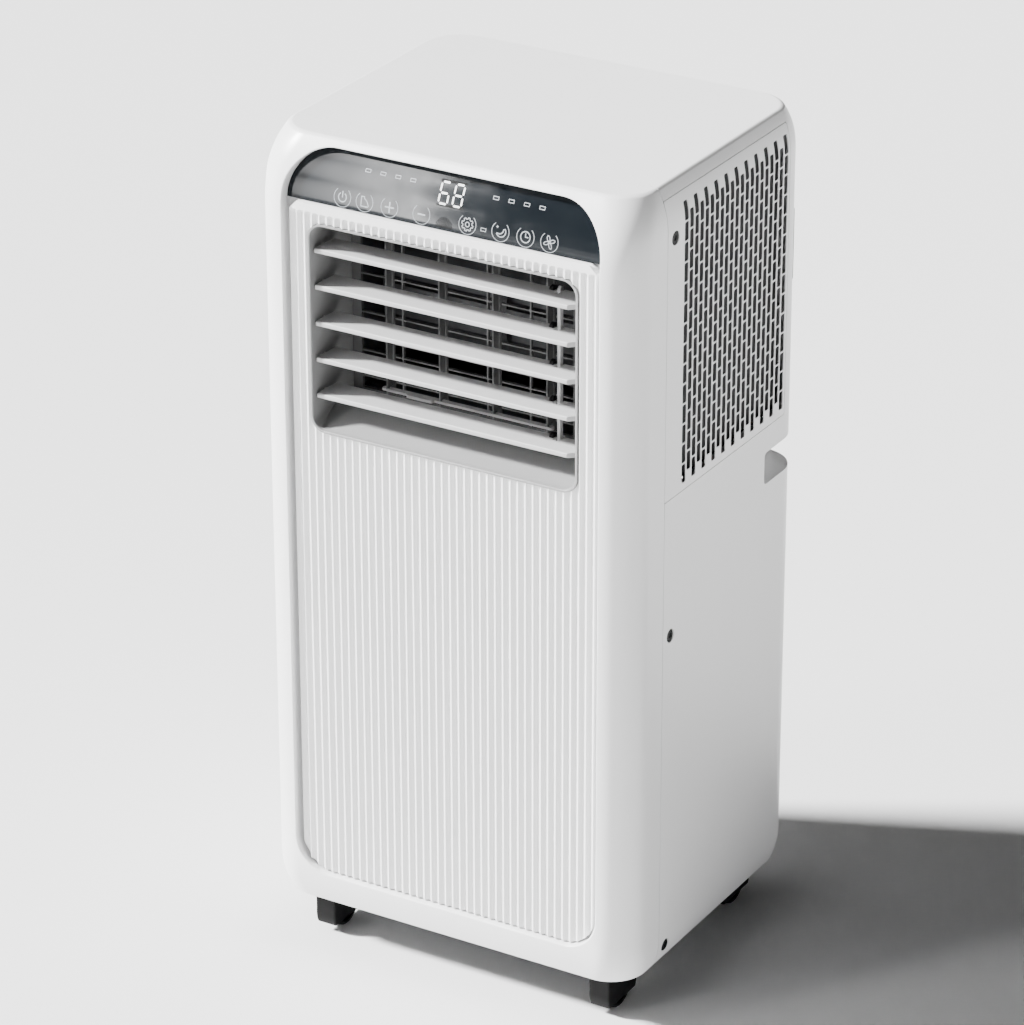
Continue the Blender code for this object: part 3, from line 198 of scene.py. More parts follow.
DARK = moulded("dark_plastic", (0.035, 0.036, 0.038), 0.5, vary=0.15, depth=0.12, grain=900)
for dull, shine in ((LENS, 0.17), (BLACK, 0.15)):
    dull.node_tree.nodes["Principled BSDF"].inputs["Specular IOR Level"].default_value = shine
RUBBER = moulded("rubber", (0.018, 0.018, 0.018), 0.75, vary=0.2, depth=0.2, grain=700)
STEEL = moulded("galvanised_steel", (0.50, 0.51, 0.52), 0.36, vary=0.12, depth=0.06, metal=1.0)
PAINT = moulded("compressor_paint", (0.02, 0.02, 0.022), 0.38, vary=0.2, depth=0.25, grain=500, coat=0.3)
COPPER = moulded("copper", (0.70, 0.34, 0.19), 0.3, vary=0.08, depth=0.03, metal=1.0,
                 second=(0.45, 0.20, 0.12))
BOARD = moulded("circuit_board", (0.02, 0.13, 0.06), 0.4, vary=0.25, depth=0.1, grain=300)
BOX = moulded("box_plastic", (0.50, 0.50, 0.49), 0.5, vary=0.03, depth=0.1)
FINS = waves("aluminium_fins", (0.72, 0.73, 0.75), (0.12, 0.12, 0.13), "X", 190.0, 0.38, 1.0)
# Side filter mesh: the weave is real, and its near-black tone is also painted shade so the grille slots in
# front read black. The rear filter mesh shares the same tones.
MESH = waves("filter_mesh", (0.012, 0.012, 0.013), (0.002, 0.002, 0.002), "Y", 170.0, 0.8, cross="Z")
REAR_MESH = waves("rear_filter_mesh", (0.012, 0.012, 0.013), (0.002, 0.002, 0.002), "X", 170.0, 0.8,
                  cross="Z")
GLOW, glow_tree, glow_shader = nodes_of("display_digits")
glow_shader.inputs["Emission Strength"].default_value = 0.9
glow_shader.inputs["Emission Color"].default_value = (1.0, 1.0, 1.0, 1.0)
wire(glow_tree, span(glow_tree, noise(glow_tree, 300.0), 0.4, 0.5), "Result", glow_shader, "Roughness")


# ---------------------------------------------------------------- mesh helpers
def thing(name, shape, paint=None):
    mesh = bpy.data.meshes.new(name)
    shape.to_mesh(mesh)
    shape.free()
    made = bpy.data.objects.new(name, mesh)
    bpy.context.scene.collection.objects.link(made)
    if paint:
        mesh.materials.append(paint)
    return made


def settle(target):
    """Turn an object's modifiers into its own mesh."""
    bpy.context.view_layer.update()
    seen = target.evaluated_get(bpy.context.evaluated_depsgraph_get())
    mesh = bpy.data.meshes.new_from_object(seen)
    target.modifiers.clear()
    target.data = mesh
    return target


def carve(target, operation, *others):
    for other in others:
        step = target.modifiers.new("step", "BOOLEAN")
        step.operation = operation
        step.solver = "MANIFOLD"
        step.object = other
    settle(target)
    for other in others:
        bpy.data.objects.remove(other, do_unlink=True)
    return target


def cut(target, *others):
    return carve(target, "DIFFERENCE", *others)


def finished(target, body, replaces=(), paint=None, bevel=0.0, angle=35.0, segments=3):
    """Smooth it, round its edges, and let it ride on its body."""
    mesh = target.data
    if paint:
        mesh.materials.clear()
        mesh.materials.append(paint)
        for face in mesh.polygons:
            face.material_index = 0
    if bevel:
        shape = bmesh.new()
        shape.from_mesh(mesh)
        bmesh.ops.remove_doubles(shape, verts=shape.verts, dist=0.00001)
        bmesh.ops.dissolve_limit(shape, angle_limit=math.radians(0.6), verts=shape.verts, edges=shape.edges)
        shape.to_mesh(mesh)
        shape.free()
        step = target.modifiers.new("rounding", "BEVEL")
        step.width = bevel
        step.segments = segments
        step.limit_method = "ANGLE"
        step.angle_limit = math.radians(angle)
        settle(target)
        mesh = target.data
    mesh.shade_smooth()
    mesh.set_sharp_from_angle(angle=math.radians(angle))
    step = target.modifiers.new("normals", "WEIGHTED_NORMAL")
    step.keep_sharp = True
    settle(target)
    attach(target, body)
    if replaces:
        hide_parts(*replaces)
    return target


def to_axis(axis, across, up, along):
    return {"x": (along, across, up), "y": (across, along, up), "z": (across, up, along)}[axis]


def prisms(name, outlines, axis, low, high):
    """Closed outlines, each extruded along an axis, in one object."""
    shape = bmesh.new()
    for points in outlines:
        area = sum(a[0] * b[1] - b[0] * a[1] for a, b in zip(points, points[1:] + points[:1]))
        loop = points if (area > 0) != (axis == "y") else points[::-1]
        near = [shape.verts.new(to_axis(axis, a, b, low)) for a, b in loop]
        far = [shape.verts.new(to_axis(axis, a, b, high)) for a, b in loop]
        shape.faces.new(near[::-1])
        shape.faces.new(far)
        for i in range(len(loop)):
            j = (i + 1) % len(loop)
            shape.faces.new((near[i], near[j], far[j], far[i]))
    return thing(name, shape)


def block(name, low, high):
    points = [(low[0], low[1]), (high[0], low[1]), (high[0], high[1]), (low[0], high[1])]
    return prisms(name, [points], "z", low[2], high[2])


def arc(centre, radius, start, end, steps=10):
    turns = [math.radians(start + (end - start) * i / steps) for i in range(steps + 1)]
    return [(centre[0] + radius * math.cos(t), centre[1] + radius * math.sin(t)) for t in turns]


def rounded(left, right, low, high, radius, upper=None, steps=10):
    upper = radius if upper is None else upper
    return (arc((right - upper, high - upper), upper, 0, 90, steps)
            + arc((left + upper, high - upper), upper, 90, 180, steps)
            + arc((left + radius, low + radius), radius, 180, 270, steps)
            + arc((right - radius, low + radius), radius, 270, 360, steps))


def ring(centre, radius, steps=32):
    return arc(centre, radius, 0, 360, steps)[:-1]


def lathe(name, profile, axis, centre, steps=64):
    """A closed profile of (radius, place) turned about an axis."""
    shape = bmesh.new()
    rows = []
    for radius, along in profile:
        if radius < 1e-7:
            rows.append([shape.verts.new(to_axis(axis, centre[0], centre[1], along))] * steps)
            continue
        rows.append([shape.verts.new(to_axis(axis, centre[0] + a, centre[1] + b, along))
                     for a, b in ring((0, 0), radius, steps)])
    closed = profile[0][0] > 1e-7
    pairs = list(zip(rows, rows[1:])) + ([(rows[-1], rows[0])] if closed else [])
    for first, second in pairs:
        for i in range(steps):
            j = (i + 1) % steps
            corners = []
            for spot in (first[i], first[j], second[j], second[i]):
                if spot not in corners:
                    corners.append(spot)
            if len(corners) > 2:
                shape.faces.new(corners)
    bmesh.ops.recalc_face_normals(shape, faces=shape.faces)
    return thing(name, shape)


# ---------------------------------------------------------------- the outer skin
def bend(radius, inset):
    return math.sqrt(radius ** 2 - (radius - inset) ** 2)


def curve_in(z, radius, top_inset, base_inset):
    """How far a face has curved in at a height."""
    drop = max(z - (TOP - bend(radius, top_inset)), BASE + bend(radius, base_inset) - z, 0.0)
    return radius - math.sqrt(max(radius ** 2 - drop ** 2, 0.0))


def side_x(z):
    return HALF_WIDTH - curve_in(z, SIDE_RADIUS, SIDE_TOP_INSET, SIDE_BASE_INSET)


def front_y(z):
    return FRONT + curve_in(z, FRONT_RADIUS, FRONT_TOP_INSET, FRONT_BASE_INSET)


def rear_y(z):
    return REAR - curve_in(z, REAR_RADIUS, REAR_INSET, REAR_INSET)


def levels():
    """Heights and extra insets of the rings of the skin, close together where it curves."""
    low = BASE + bend(FRONT_RADIUS, FRONT_BASE_INSET)
    high = TOP - bend(FRONT_RADIUS, FRONT_TOP_INSET)
    rows = []
    for i in range(6, 0, -1):
        turn = math.radians(15 * i)
        rows.append((BASE + EDGE * (1 - math.sin(turn)), EDGE * (1 - math.cos(turn))))
    rows += [(BASE + EDGE + (low - BASE - EDGE) * i / 16, 0.0) for i in range(17)]
    rows += [(low + (high - low) * i / 5, 0.0) for i in range(1, 5)]
    rows += [(high + (TOP - EDGE - high) * i / 18, 0.0) for i in range(19)]
    for i in range(1, 7):
        turn = math.radians(15 * i)
        rows.append((TOP - EDGE * (1 - math.sin(turn)), EDGE * (1 - math.cos(turn))))
    return rows


def skin(name, depth=0.0):
    """The whole outer form of the machine as one closed solid, drawn in by a depth."""
    shape = bmesh.new()
    rings = []
    squeeze = (TOP - BASE - 2 * depth) / (TOP - BASE)
    for height, extra in levels():
        half = side_x(height) - depth - extra
        plan = rounded(-half, half, front_y(height) + depth + extra, rear_y(height) - depth - extra,
                       PLAN_RADIUS - depth, steps=12)
        z = BASE + depth + (height - BASE) * squeeze if depth else height
        rings.append([shape.verts.new((x, y, z)) for x, y in plan])
    for low, high in zip(rings, rings[1:]):
        for i in range(len(low)):
            j = (i + 1) % len(low)
            shape.faces.new((low[i], low[j], high[j], high[i]))
    shape.faces.new(rings[0][::-1])
    shape.faces.new(rings[-1])
    return thing(name, shape)


def recess(grow, steps=16):
    return rounded(-RECESS_HALF - grow, RECESS_HALF + grow, RECESS_LOW - grow, RECESS_HIGH + grow,
                   RECESS_LOW_RADIUS + grow, RECESS_HIGH_RADIUS + grow, steps)


def lip_cutter(name, outline, radius, face):
    """A band that follows an outline on the front and leaves a rounded lip round a mouth cut in it."""
    section = [(radius, 0.0012), (radius, 0.0)]
    section += [(radius - radius * math.sin(math.radians(t)), radius - radius * math.cos(math.radians(t)))
                for t in (15, 30, 45, 60, 75, 90)]
    section = [(a, -b) for a, b in section[1:]]
    section = [(radius, 0.0012)] + section + [(-0.0012, -radius), (-0.0012, 0.0012)]
    shape = bmesh.new()
    rows = []
    count = len(outline)
    for i, (x, z) in enumerate(outline):
        before, after = outline[i - 1], outline[(i + 1) % count]
        along = Vector((after[0] - before[0], after[1] - before[1])).normalized()
        outward = Vector((along.y, -along.x))
        row = []
        for out, rise in section:
            px, pz = x + outward.x * out, z + outward.y * out
            row.append(shape.verts.new((px, face(pz) - rise, pz)))
        rows.append(row)
    for i in range(count):
        first, second = rows[i], rows[(i + 1) % count]
        for k in range(len(section)):
            m = (k + 1) % len(section)
            shape.faces.new((first[k], first[m], second[m], second[k]))
    bmesh.ops.recalc_face_normals(shape, faces=shape.faces)
    return thing(name, shape)


def dense(outline, step=0.006):
    """The same closed outline with its long runs divided."""
    points = []
    for a, b in zip(outline, outline[1:] + outline[:1]):
        length = math.dist(a, b)
        if length < 1e-6:
            continue
        parts = max(1, round(length / step))
        points += [(a[0] + (b[0] - a[0]) * i / parts, a[1] + (b[1] - a[1]) * i / parts)
                   for i in range(parts)]
    return points


def lens_face(z):
    """Where the front of the control lens is, following the curve of the casing."""
    radius = FRONT_RADIUS - LENS_DEPTH
    rise = max(z - (TOP - bend(FRONT_RADIUS, FRONT_TOP_INSET)), 0.0)
    return FRONT + FRONT_RADIUS - math.sqrt(radius ** 2 - rise ** 2)


def band(name, outer, inner, low, high, half, steps=24):
    """A sheet that follows the curved front between two depths."""
    def face(depth):
        radius, points = FRONT_RADIUS - depth, []
        for i in range(steps + 1):
            z = low + (high - low) * i / steps
            rise = max(z - (TOP - bend(FRONT_RADIUS, FRONT_TOP_INSET)), 0.0)
            drop = max(BASE + bend(FRONT_RADIUS, FRONT_BASE_INSET) - z, 0.0)
            points.append((FRONT + FRONT_RADIUS - math.sqrt(radius ** 2 - max(rise, drop) ** 2), z))
        return points
    return prisms(name, [face(outer) + face(inner)[::-1]], "x", -half, half)


# ---------------------------------------------------------------- casings
def front_casing():
    shell = skin("front_shell")
    cut(shell, block("behind", (-1, SEAM, -1), (1, 1, 2)))
    cut(shell, skin("inside", WALL))
    wall = band("recess_wall", 0.0006, RECESS_DEPTH + 0.0002, RECESS_LOW - WALL, RECESS_HIGH + WALL / 2,
                0.2, 48)
    carve(wall, "INTERSECT", prisms("wall_edge", [recess(WALL)], "y", FRONT - 0.01, SEAM - 0.001))
    carve(shell, "UNION", wall)
    cut(shell, prisms("mouth", [recess(0.0)], "y", FRONT - 0.01, SEAM - 0.004))
    cut(shell, lip_cutter("lip", dense(recess(0.0)), 0.0014, front_y))
    reach = HALF_WIDTH - 0.020
    cut(shell, block("under", (-reach, FRONT + 0.014, BASE - 0.01), (reach, 1, BASE + 0.005)))
    finished(shell, "cabinet", ["front_casing"], WHITE)


def rear_casing():
    shell = skin("rear_shell")
    cut(shell, block("before", (-1, -1, -1), (1, SEAM + 0.0006, 2)))
    cut(shell, skin("inside", WALL))
    low_z, high_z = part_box("side_grille_right")[0].z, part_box("side_grille_right")[1].z
    far_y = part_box("side_grille_right")[1].y
    near = HALF_WIDTH - POCKET_DEEP
    for side in (1, -1):
        reach_in = sorted((side * (near - WALL), side * 0.2))
        pocket = block("pocket", (reach_in[0], POCKET_FRONT - WALL, POCKET_LOW - WALL),
                       (reach_in[1], REAR + 0.01, POCKET_HIGH + WALL))
        carve(pocket, "INTERSECT", skin("pocket_skin", 0.0004))
        carve(shell, "UNION", pocket)
        hollow = rounded(POCKET_FRONT, REAR + 0.02, POCKET_LOW, POCKET_HIGH, 0.004, steps=6)
        cut(shell, prisms("hollow", [hollow], "x", *sorted((side * near, side * 0.2))))
        mouth = rounded(SEAM - 0.02, far_y + 0.0005, low_z - 0.0005, high_z + 0.0005, 0.002, steps=4)
        cut(shell, prisms("side_mouth", [mouth], "x", *sorted((side * (HALF_WIDTH - 0.022), side * 0.2))))
        holes = [ring((SCREW_Y, z), SCREW_HOLE) for z in (SCREW_MIDDLE, SCREW_BOTTOM)]
        cut(shell, prisms("screw_holes", holes, "x", *sorted((side * 0.13, side * 0.2))))
    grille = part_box("rear_grille")
    backs = [rounded(grille[0].x - 0.0005, grille[1].x + 0.0005, grille[0].z - 0.0005, grille[1].z + 0.0005,
                     0.004, steps=6),
             ring((0.0, COLLAR_Z), COLLAR_OUTSIDE + 0.0003, 72), ring((GLAND_X, GLAND_Z), 0.0094),
             ring((PLUG_X, PLUG_LOWER_Z), 0.0064), ring((PLUG_X, PLUG_UPPER_Z), 0.0064)]
    backs += [rounded(-INTAKE_HALF, INTAKE_HALF, INTAKE_LOW + INTAKE_PITCH * i + WALL,
                      INTAKE_LOW + INTAKE_PITCH * (i + 1) - WALL, 0.006, steps=8)
              for i in range(INTAKE_SLOTS)]
    cut(shell, prisms("rear_holes", backs, "y", REAR - 0.02, REAR + 0.02))
    reach = HALF_WIDTH - 0.020
    cut(shell, block("under", (-reach, SEAM - 0.01, BASE - 0.01), (reach, REAR - 0.020, BASE + 0.005)))
    finished(shell, "cabinet", ["rear_casing"], WHITE)
    tongue = skin("seam_tongue", WALL + 0.0001)
    carve(tongue, "INTERSECT", block("by_seam", (-1, SEAM - 0.006, -1), (1, SEAM + 0.006, 2)))
    cut(tongue, skin("tongue_inside", WALL + 0.0016))
    cut(tongue, prisms("tongue_mouth", [rounded(SEAM - 0.1, 1, low_z, high_z, 0.002)], "x", -1, 1))
    cut(tongue, block("under", (-reach, -1, BASE - 0.01), (reach, 1, BASE + 0.012)))
    finished(tongue, "cabinet", paint=DARK)


def side_grilles():
    columns, wide, tall, pitch_z = 21, 0.0064, 0.0151, 0.01625
    for side, mark in ((1, "right"), (-1, "left")):
        low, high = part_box("side_grille_" + mark)
        cover = skin("side_cover_" + mark)
        edge = rounded(low.y, high.y, low.z, high.z, 0.0018, steps=4)
        carve(cover, "INTERSECT", prisms("edge", [edge], "x", *sorted((side * (HALF_WIDTH - 0.022), side))))
        cut(cover, skin("back", 0.0006))
        pitch = (high.y - low.y - 0.0345) / (columns - 1)
        slots = []
        for column in range(columns):
            middle = low.y + 0.0285 + pitch * column
            tall_column = column % 2 == 0
            for row in range(14 if tall_column else 13):
                base = 0.4535 + pitch_z * row + (0.0 if tall_column else pitch_z / 2) - 0.0055
                slots.append(rounded(middle - wide / 2, middle + wide / 2, base, base + tall, 0.0014,
                                     steps=3))
        slots.append(ring((SCREW_Y, SCREW_TOP), SCREW_HOLE))
        cut(cover, prisms("slots", slots, "x", *sorted((side * (HALF_WIDTH - 0.03), side * 0.2))))
        finished(cover, "cabinet", ["side_grille_" + mark], WHITE)


def screws():
    for side, mark in ((1, "right"), (-1, "left")):
        for level, z in (("top", SCREW_TOP), ("middle", SCREW_MIDDLE), ("bottom", SCREW_BOTTOM)):
            face = side_x(z) * side - side * 0.0004
            deep = face - side * 0.004
            profile = [(0, face - side * 0.0009), (0.0018, face - side * 0.0008),
                       (0.0024, face - side * 0.0002), (0.0044, face), (0.0051, face - side * 0.0005),
                       (0.0053, face - side * 0.0012),
                       (0.0053, deep), (0, deep)]
            cap = lathe("screw_cap_%s_%s" % (mark, level), profile, "x", (SCREW_Y, z), 40)
            finished(cap, "cabinet", ["side_screw_%s_%s" % (mark, level)], BLACK)


# ---------------------------------------------------------------- front panel and lens
def front_panel():
    half = RECESS_HALF - GROOVE
    pitch = 2 * half / FLUTES
    low, high = RECESS_LOW + 0.001, PANEL_TOP
    end = high - FLUTE_STRIP - pitch / 2
    across = []
    for index in range(FLUTES):
        middle = -half + pitch * (index + 0.5)
        across += [(middle + pitch / 2 * share, share) for share in
                   (-1.0, -0.93, -0.84, -0.66, -0.44, -0.22, 0.0, 0.22, 0.44, 0.66, 0.84, 0.93)]
    across.append((half, 1.0))
    up = [low - 0.002 + (end - low + 0.002) * i / 6 for i in range(7)]
    up += [end + pitch / 2 * s for s in (0.2, 0.4, 0.55, 0.7, 0.8, 0.88, 0.94, 1.0)] + [high + 0.002]
    face = FRONT + PANEL_DEPTH
    shape = bmesh.new()
    front, back = [], []
    for z in up:
        row = []
        for x, share in across:
            rise = max((z - end) / (pitch / 2), 0.0)
            reach = math.hypot(share / 0.93, rise)
            deep = FLUTE_DEPTH * max(1 - reach ** 2, 0.0) if reach < 1 else 0.0
            row.append(shape.verts.new((x, face + deep, z)))
        front.append(row)
        back.append([shape.verts.new((x, FRONT + RECESS_DEPTH + 0.0005, z)) for x in (-half, half)])
    for i in range(len(up) - 1):
        for k in range(len(across) - 1):
            shape.faces.new((front[i][k], front[i][k + 1], front[i + 1][k + 1], front[i + 1][k]))
        shape.faces.new((back[i][1], back[i][0], back[i + 1][0], back[i + 1][1]))
        shape.faces.new((front[i + 1][0], back[i + 1][0], back[i][0], front[i][0]))
        shape.faces.new((front[i][-1], back[i][1], back[i + 1][1], front[i + 1][-1]))
    shape.faces.new([back[0][0], back[0][1]] + front[0][::-1])
    shape.faces.new([back[-1][1], back[-1][0]] + front[-1])
    panel = thing("fluted_panel", shape)
    corner = 0.0062
    outline = [(half, high - corner), (half - corner, high), (corner - half, high), (-half, high - corner)]
    outline += arc((0.0255 - half, low + 0.0255), 0.0255, 180, 270, 14)
    outline += arc((half - 0.0255, low + 0.0255), 0.0255, 270, 360, 14)
    carve(panel, "INTERSECT", prisms("outline", [outline], "y", FRONT - 0.01, FRONT + 0.02))
    hole = rounded(-OUTLET_HALF - 0.0023, OUTLET_HALF + 0.0023, OUTLET_LOW - 0.0023, OUTLET_HIGH + 0.0023,
                   OUTLET_RADIUS + 0.0023, steps=12)
    cut(panel, prisms("hole", [hole], "y", FRONT - 0.01, FRONT + 0.03))
    finished(panel, "cabinet", ["front_panel"], FLUTED, angle=50.0)
    flange = band("panel_flange", RECESS_DEPTH, RECESS_DEPTH + WALL, RECESS_LOW - 0.006,
                  RECESS_HIGH + 0.004, 0.2, 48)
    carve(flange, "INTERSECT", prisms("flange_edge", [recess(0.006)], "y", FRONT - 0.01, SEAM))
    cut(flange, prisms("flange_hole", [hole], "y", FRONT - 0.01, FRONT + 0.03))
    finished(flange, "cabinet", paint=FLUTED)


def lens():
    sheet = band("control_lens", LENS_DEPTH, LENS_DEPTH + 0.0024, LENS_LOW, RECESS_HIGH, 0.2, 48)
    carve(sheet, "INTERSECT", prisms("lens_edge", [recess(-0.0003, 20)], "y", FRONT - 0.01, SEAM))
    finished(sheet, "cabinet", ["control_panel"], LENS)


def stroke(points, width, closed=False):
    """Quads that make a line of a width through points."""
    quads = []
    pairs = list(zip(points, points[1:])) + ([(points[-1], points[0])] if closed else [])
    for a, b in pairs:
        along = Vector((b[0] - a[0], b[1] - a[1]))
        if along.length < 1e-9:
            continue
        along.normalize()
        side = Vector((-along.y, along.x)) * width / 2
        reach = along * width * 0.2
        quads.append([(a[0] - side.x - reach.x, a[1] - side.y - reach.y),
                      (b[0] - side.x + reach.x, b[1] - side.y + reach.y),
                      (b[0] + side.x + reach.x, b[1] + side.y + reach.y),
                      (a[0] + side.x - reach.x, a[1] + side.y - reach.y)])
    return quads


def printed(name, outlines, paint, rise=0.00012):
    """Thin print on the lens, in millimetres across and up."""
    shape = bmesh.new()
    for points in outlines:
        area = sum(a[0] * b[1] - b[0] * a[1] for a, b in zip(points, points[1:] + points[:1]))
        line = points if area > 0 else points[::-1]
        line = [(a / 1000, b / 1000) for a, b in line]
        near = [shape.verts.new((a, lens_face(b) - rise, b)) for a, b in line]
        far = [shape.verts.new((a, lens_face(b) + 0.0002, b)) for a, b in line]
        shape.faces.new(near)
        shape.faces.new(far[::-1])
        for i in range(len(line)):
            j = (i + 1) % len(line)
            shape.faces.new((near[i], far[i], far[j], near[j]))
    finished(thing(name, shape), "cabinet", paint=paint)


def icons():
    """Touch symbols, indicator marks, the receiver and the display, in millimetres."""
    z0, radius, line = ICON_Z, 7.3, 0.42
    ink = []
    for x in (-88.3, -68.9, -47.1, -19.3, 20.3, 48.5, 69.7, 89.9):
        ink += stroke(arc((x, z0), radius, -230, 50, 36), line)
    ink += stroke(arc((-88.3, z0), 3.4, 125, 415, 20), 0.8) + stroke([(-88.3, z0 + 4.4), (-88.3, z0)], 0.8)
    ink += stroke([(-71.8, z0 + 3.8), (-71.8, z0 - 3.4), (-66.0, z0 - 3.4)], 0.7)
    ink += stroke([(-71.8, z0 + 3.8), (-69.2, z0 + 3.8)] + arc((-71.8, z0 - 3.4), 6.4, 66, 4, 8), 0.7)
    ink += stroke([(-50.9, z0), (-43.3, z0)], 1.0) + stroke([(-47.1, z0 - 3.8), (-47.1, z0 + 3.8)], 1.0)
    ink += stroke([(-22.4, z0), (-16.2, z0)], 1.0)
    gear = []
    for i in range(8):
        for share, reach in ((0.0, 3.9), (0.4, 3.9), (0.5, 4.9), (0.9, 4.9)):
            turn = 2 * math.pi * (i + share) / 8
            gear.append((20.3 + reach * math.cos(turn), z0 + reach * math.sin(turn)))
    ink += stroke(gear, 0.6, True) + stroke(ring((20.3, z0), 1.7, 14), 0.6, True)
    moon = arc((48.9, z0 + 0.3), 4.1, -150, 30, 12) + arc((47.5, z0 + 1.9), 3.6, 0, -118, 10)
    ink += stroke(moon, 0.7, True)
    ink += stroke([(44.8, z0 + 3.2), (46.4, z0 + 3.2)], 0.5)
    ink += stroke([(45.6, z0 + 2.4), (45.6, z0 + 4.0)], 0.5)
    ink += stroke(ring((69.7, z0), 4.0, 24), 0.7, True)
    ink += stroke([(69.7, z0 + 2.6), (69.7, z0), (72.0, z0)], 0.7)
    for i in range(4):
        turn = math.radians(90 * i + 20)
        loop = []
        for k in range(11):
            angle = math.pi * 2 * k / 10
            u, v = 2.7 + 2.2 * math.cos(angle), 1.15 * math.sin(angle)
            loop.append((89.9 + u * math.cos(turn) - v * math.sin(turn),
                         z0 + u * math.sin(turn) + v * math.cos(turn)))
        ink += stroke(loop[:-1], 0.55, True)
    for start in (-70.3, 40.1):
        for i in range(4):
            x = start + 13.05 * i
            ink += stroke([(x - 2.2, INDICATOR_LOW), (x + 2.2, INDICATOR_LOW), (x + 2.2, INDICATOR_HIGH),
                           (x - 2.2, INDICATOR_HIGH)], 0.4, True)
    ink += stroke([(32.0, 648.6), (36.2, 648.6), (36.2, 650.8), (32.0, 650.8)], 0.4, True)
    printed("lens_print", ink, PRINT)
    dots = [ring((RECEIVER_X, RECEIVER_Z), 0.45, 8)]
    for row in range(1, 7):
        count = 3 + 3 * row
        for i in range(count + 1):
            turn = math.pi * i / count
            dots.append(ring((RECEIVER_X + RECEIVER_STEP * row * math.cos(turn),
                              RECEIVER_Z + RECEIVER_STEP * row * math.sin(turn)), 0.42, 8))
    printed("receiver_dots", dots, BLACK)
    bars = []
    for x, lit in ((-2.9, "acdefg"), (9.1, "abcdefg")):
        w, h, t = 7.4, 14.6, 1.3
        left, right, low, high, mid = x - w / 2, x + w / 2, DISPLAY_Z - h / 2, DISPLAY_Z + h / 2, DISPLAY_Z
        places = {"a": ((left, high), (right, high)), "b": ((right, high), (right, mid)),
                  "c": ((right, mid), (right, low)), "d": ((left, low), (right, low)),
                  "e": ((left, mid), (left, low)), "f": ((left, high), (left, mid)),
                  "g": ((left, mid), (right, mid))}
        for key in lit:
            a, b = (Vector(p) for p in places[key])
            along = (b - a).normalized()
            a, b = a + along * 0.75, b - along * 0.75
            side = Vector((-along.y, along.x)) * t / 2
            tip = along * t / 2
            bars.append([tuple(p) for p in (a, a + tip - side, b - tip - side, b, b - tip + side,
                                            a + tip + side)])
    printed("display_digits", bars, GLOW, 0.0002)
    printed("display_window", [rounded(-8.0, 14.5, 660.0, 678.0, 1.0, steps=3)], BLACK, 0.00014)


# ---------------------------------------------------------------- air outlet
def outlet():
    front, back = FRONT + PANEL_DEPTH - 0.0002, FRONT + OUTLET_BACK
    half, low, high, radius = OUTLET_HALF, OUTLET_LOW, OUTLET_HIGH, OUTLET_RADIUS
    mouth = rounded(-half, half, low, high, radius, steps=12)
    around = rounded(-half - OUTLET_WALL, half + OUTLET_WALL, low - OUTLET_WALL, high + OUTLET_WALL,
                     radius + OUTLET_WALL, steps=12)
    duct = prisms("outlet_duct", [around], "y", front, back)
    cut(duct, prisms("bore", [mouth], "y", front - 0.01, back + 0.01))
    sill = prisms("sill", [[(front + 0.002, low - 0.001), (back - 0.0005, low - 0.001),
                            (back - 0.0005, low + SILL_RISE), (FRONT + 0.040, low + SILL_RISE)]],
                  "x", -half - 0.001, half + 0.001)
    edge = rounded(-half - 0.001, half + 0.001, low - 0.001, high + 0.001, radius + 0.001, steps=12)
    carve(sill, "INTERSECT", prisms("sill_edge", [edge], "y", front, back))
    carve(duct, "UNION", sill)
    cut(duct, lip_cutter("lip", dense(mouth), 0.0010, lambda z: front))
    # The duct wears the painted-shade grey.
    finished(duct, "cabinet", ["outlet_frame"], DUCT_PAINTED_SHADE)

    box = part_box("outlet_grille")
    edge = [(box[0].x, box[0].z), (box[1].x, box[0].z)]
    edge += arc((box[1].x - radius, box[1].z - radius), radius, 0, 90)
    edge += arc((box[0].x + radius, box[1].z - radius), radius, 90, 180)
    lattice = prisms("outlet_lattice", [edge], "y", GRILLE_Y, GRILLE_Y + 0.003)
    windows = []
    left, right, floor, ceiling = box[0].x + 0.008, box[1].x - 0.034, box[0].z + 0.0035, box[1].z - 0.004
    columns, rows, bar = 5, 14, 0.0012
    wide, tall = (right - left + bar) / columns, (ceiling - floor + bar) / rows
    for column in range(columns):
        for row in range(rows):
            x, z = left + wide * column, floor + tall * row
            windows.append(rounded(x, x + wide - bar, z, z + tall - bar, 0.0008, steps=3))
    cut(lattice, prisms("windows", windows, "y", GRILLE_Y - 0.01, GRILLE_Y + 0.01))
    # The lattice wears the painted-shade grey.
    finished(lattice, "cabinet", ["outlet_grille"], INNER_PAINTED_SHADE)


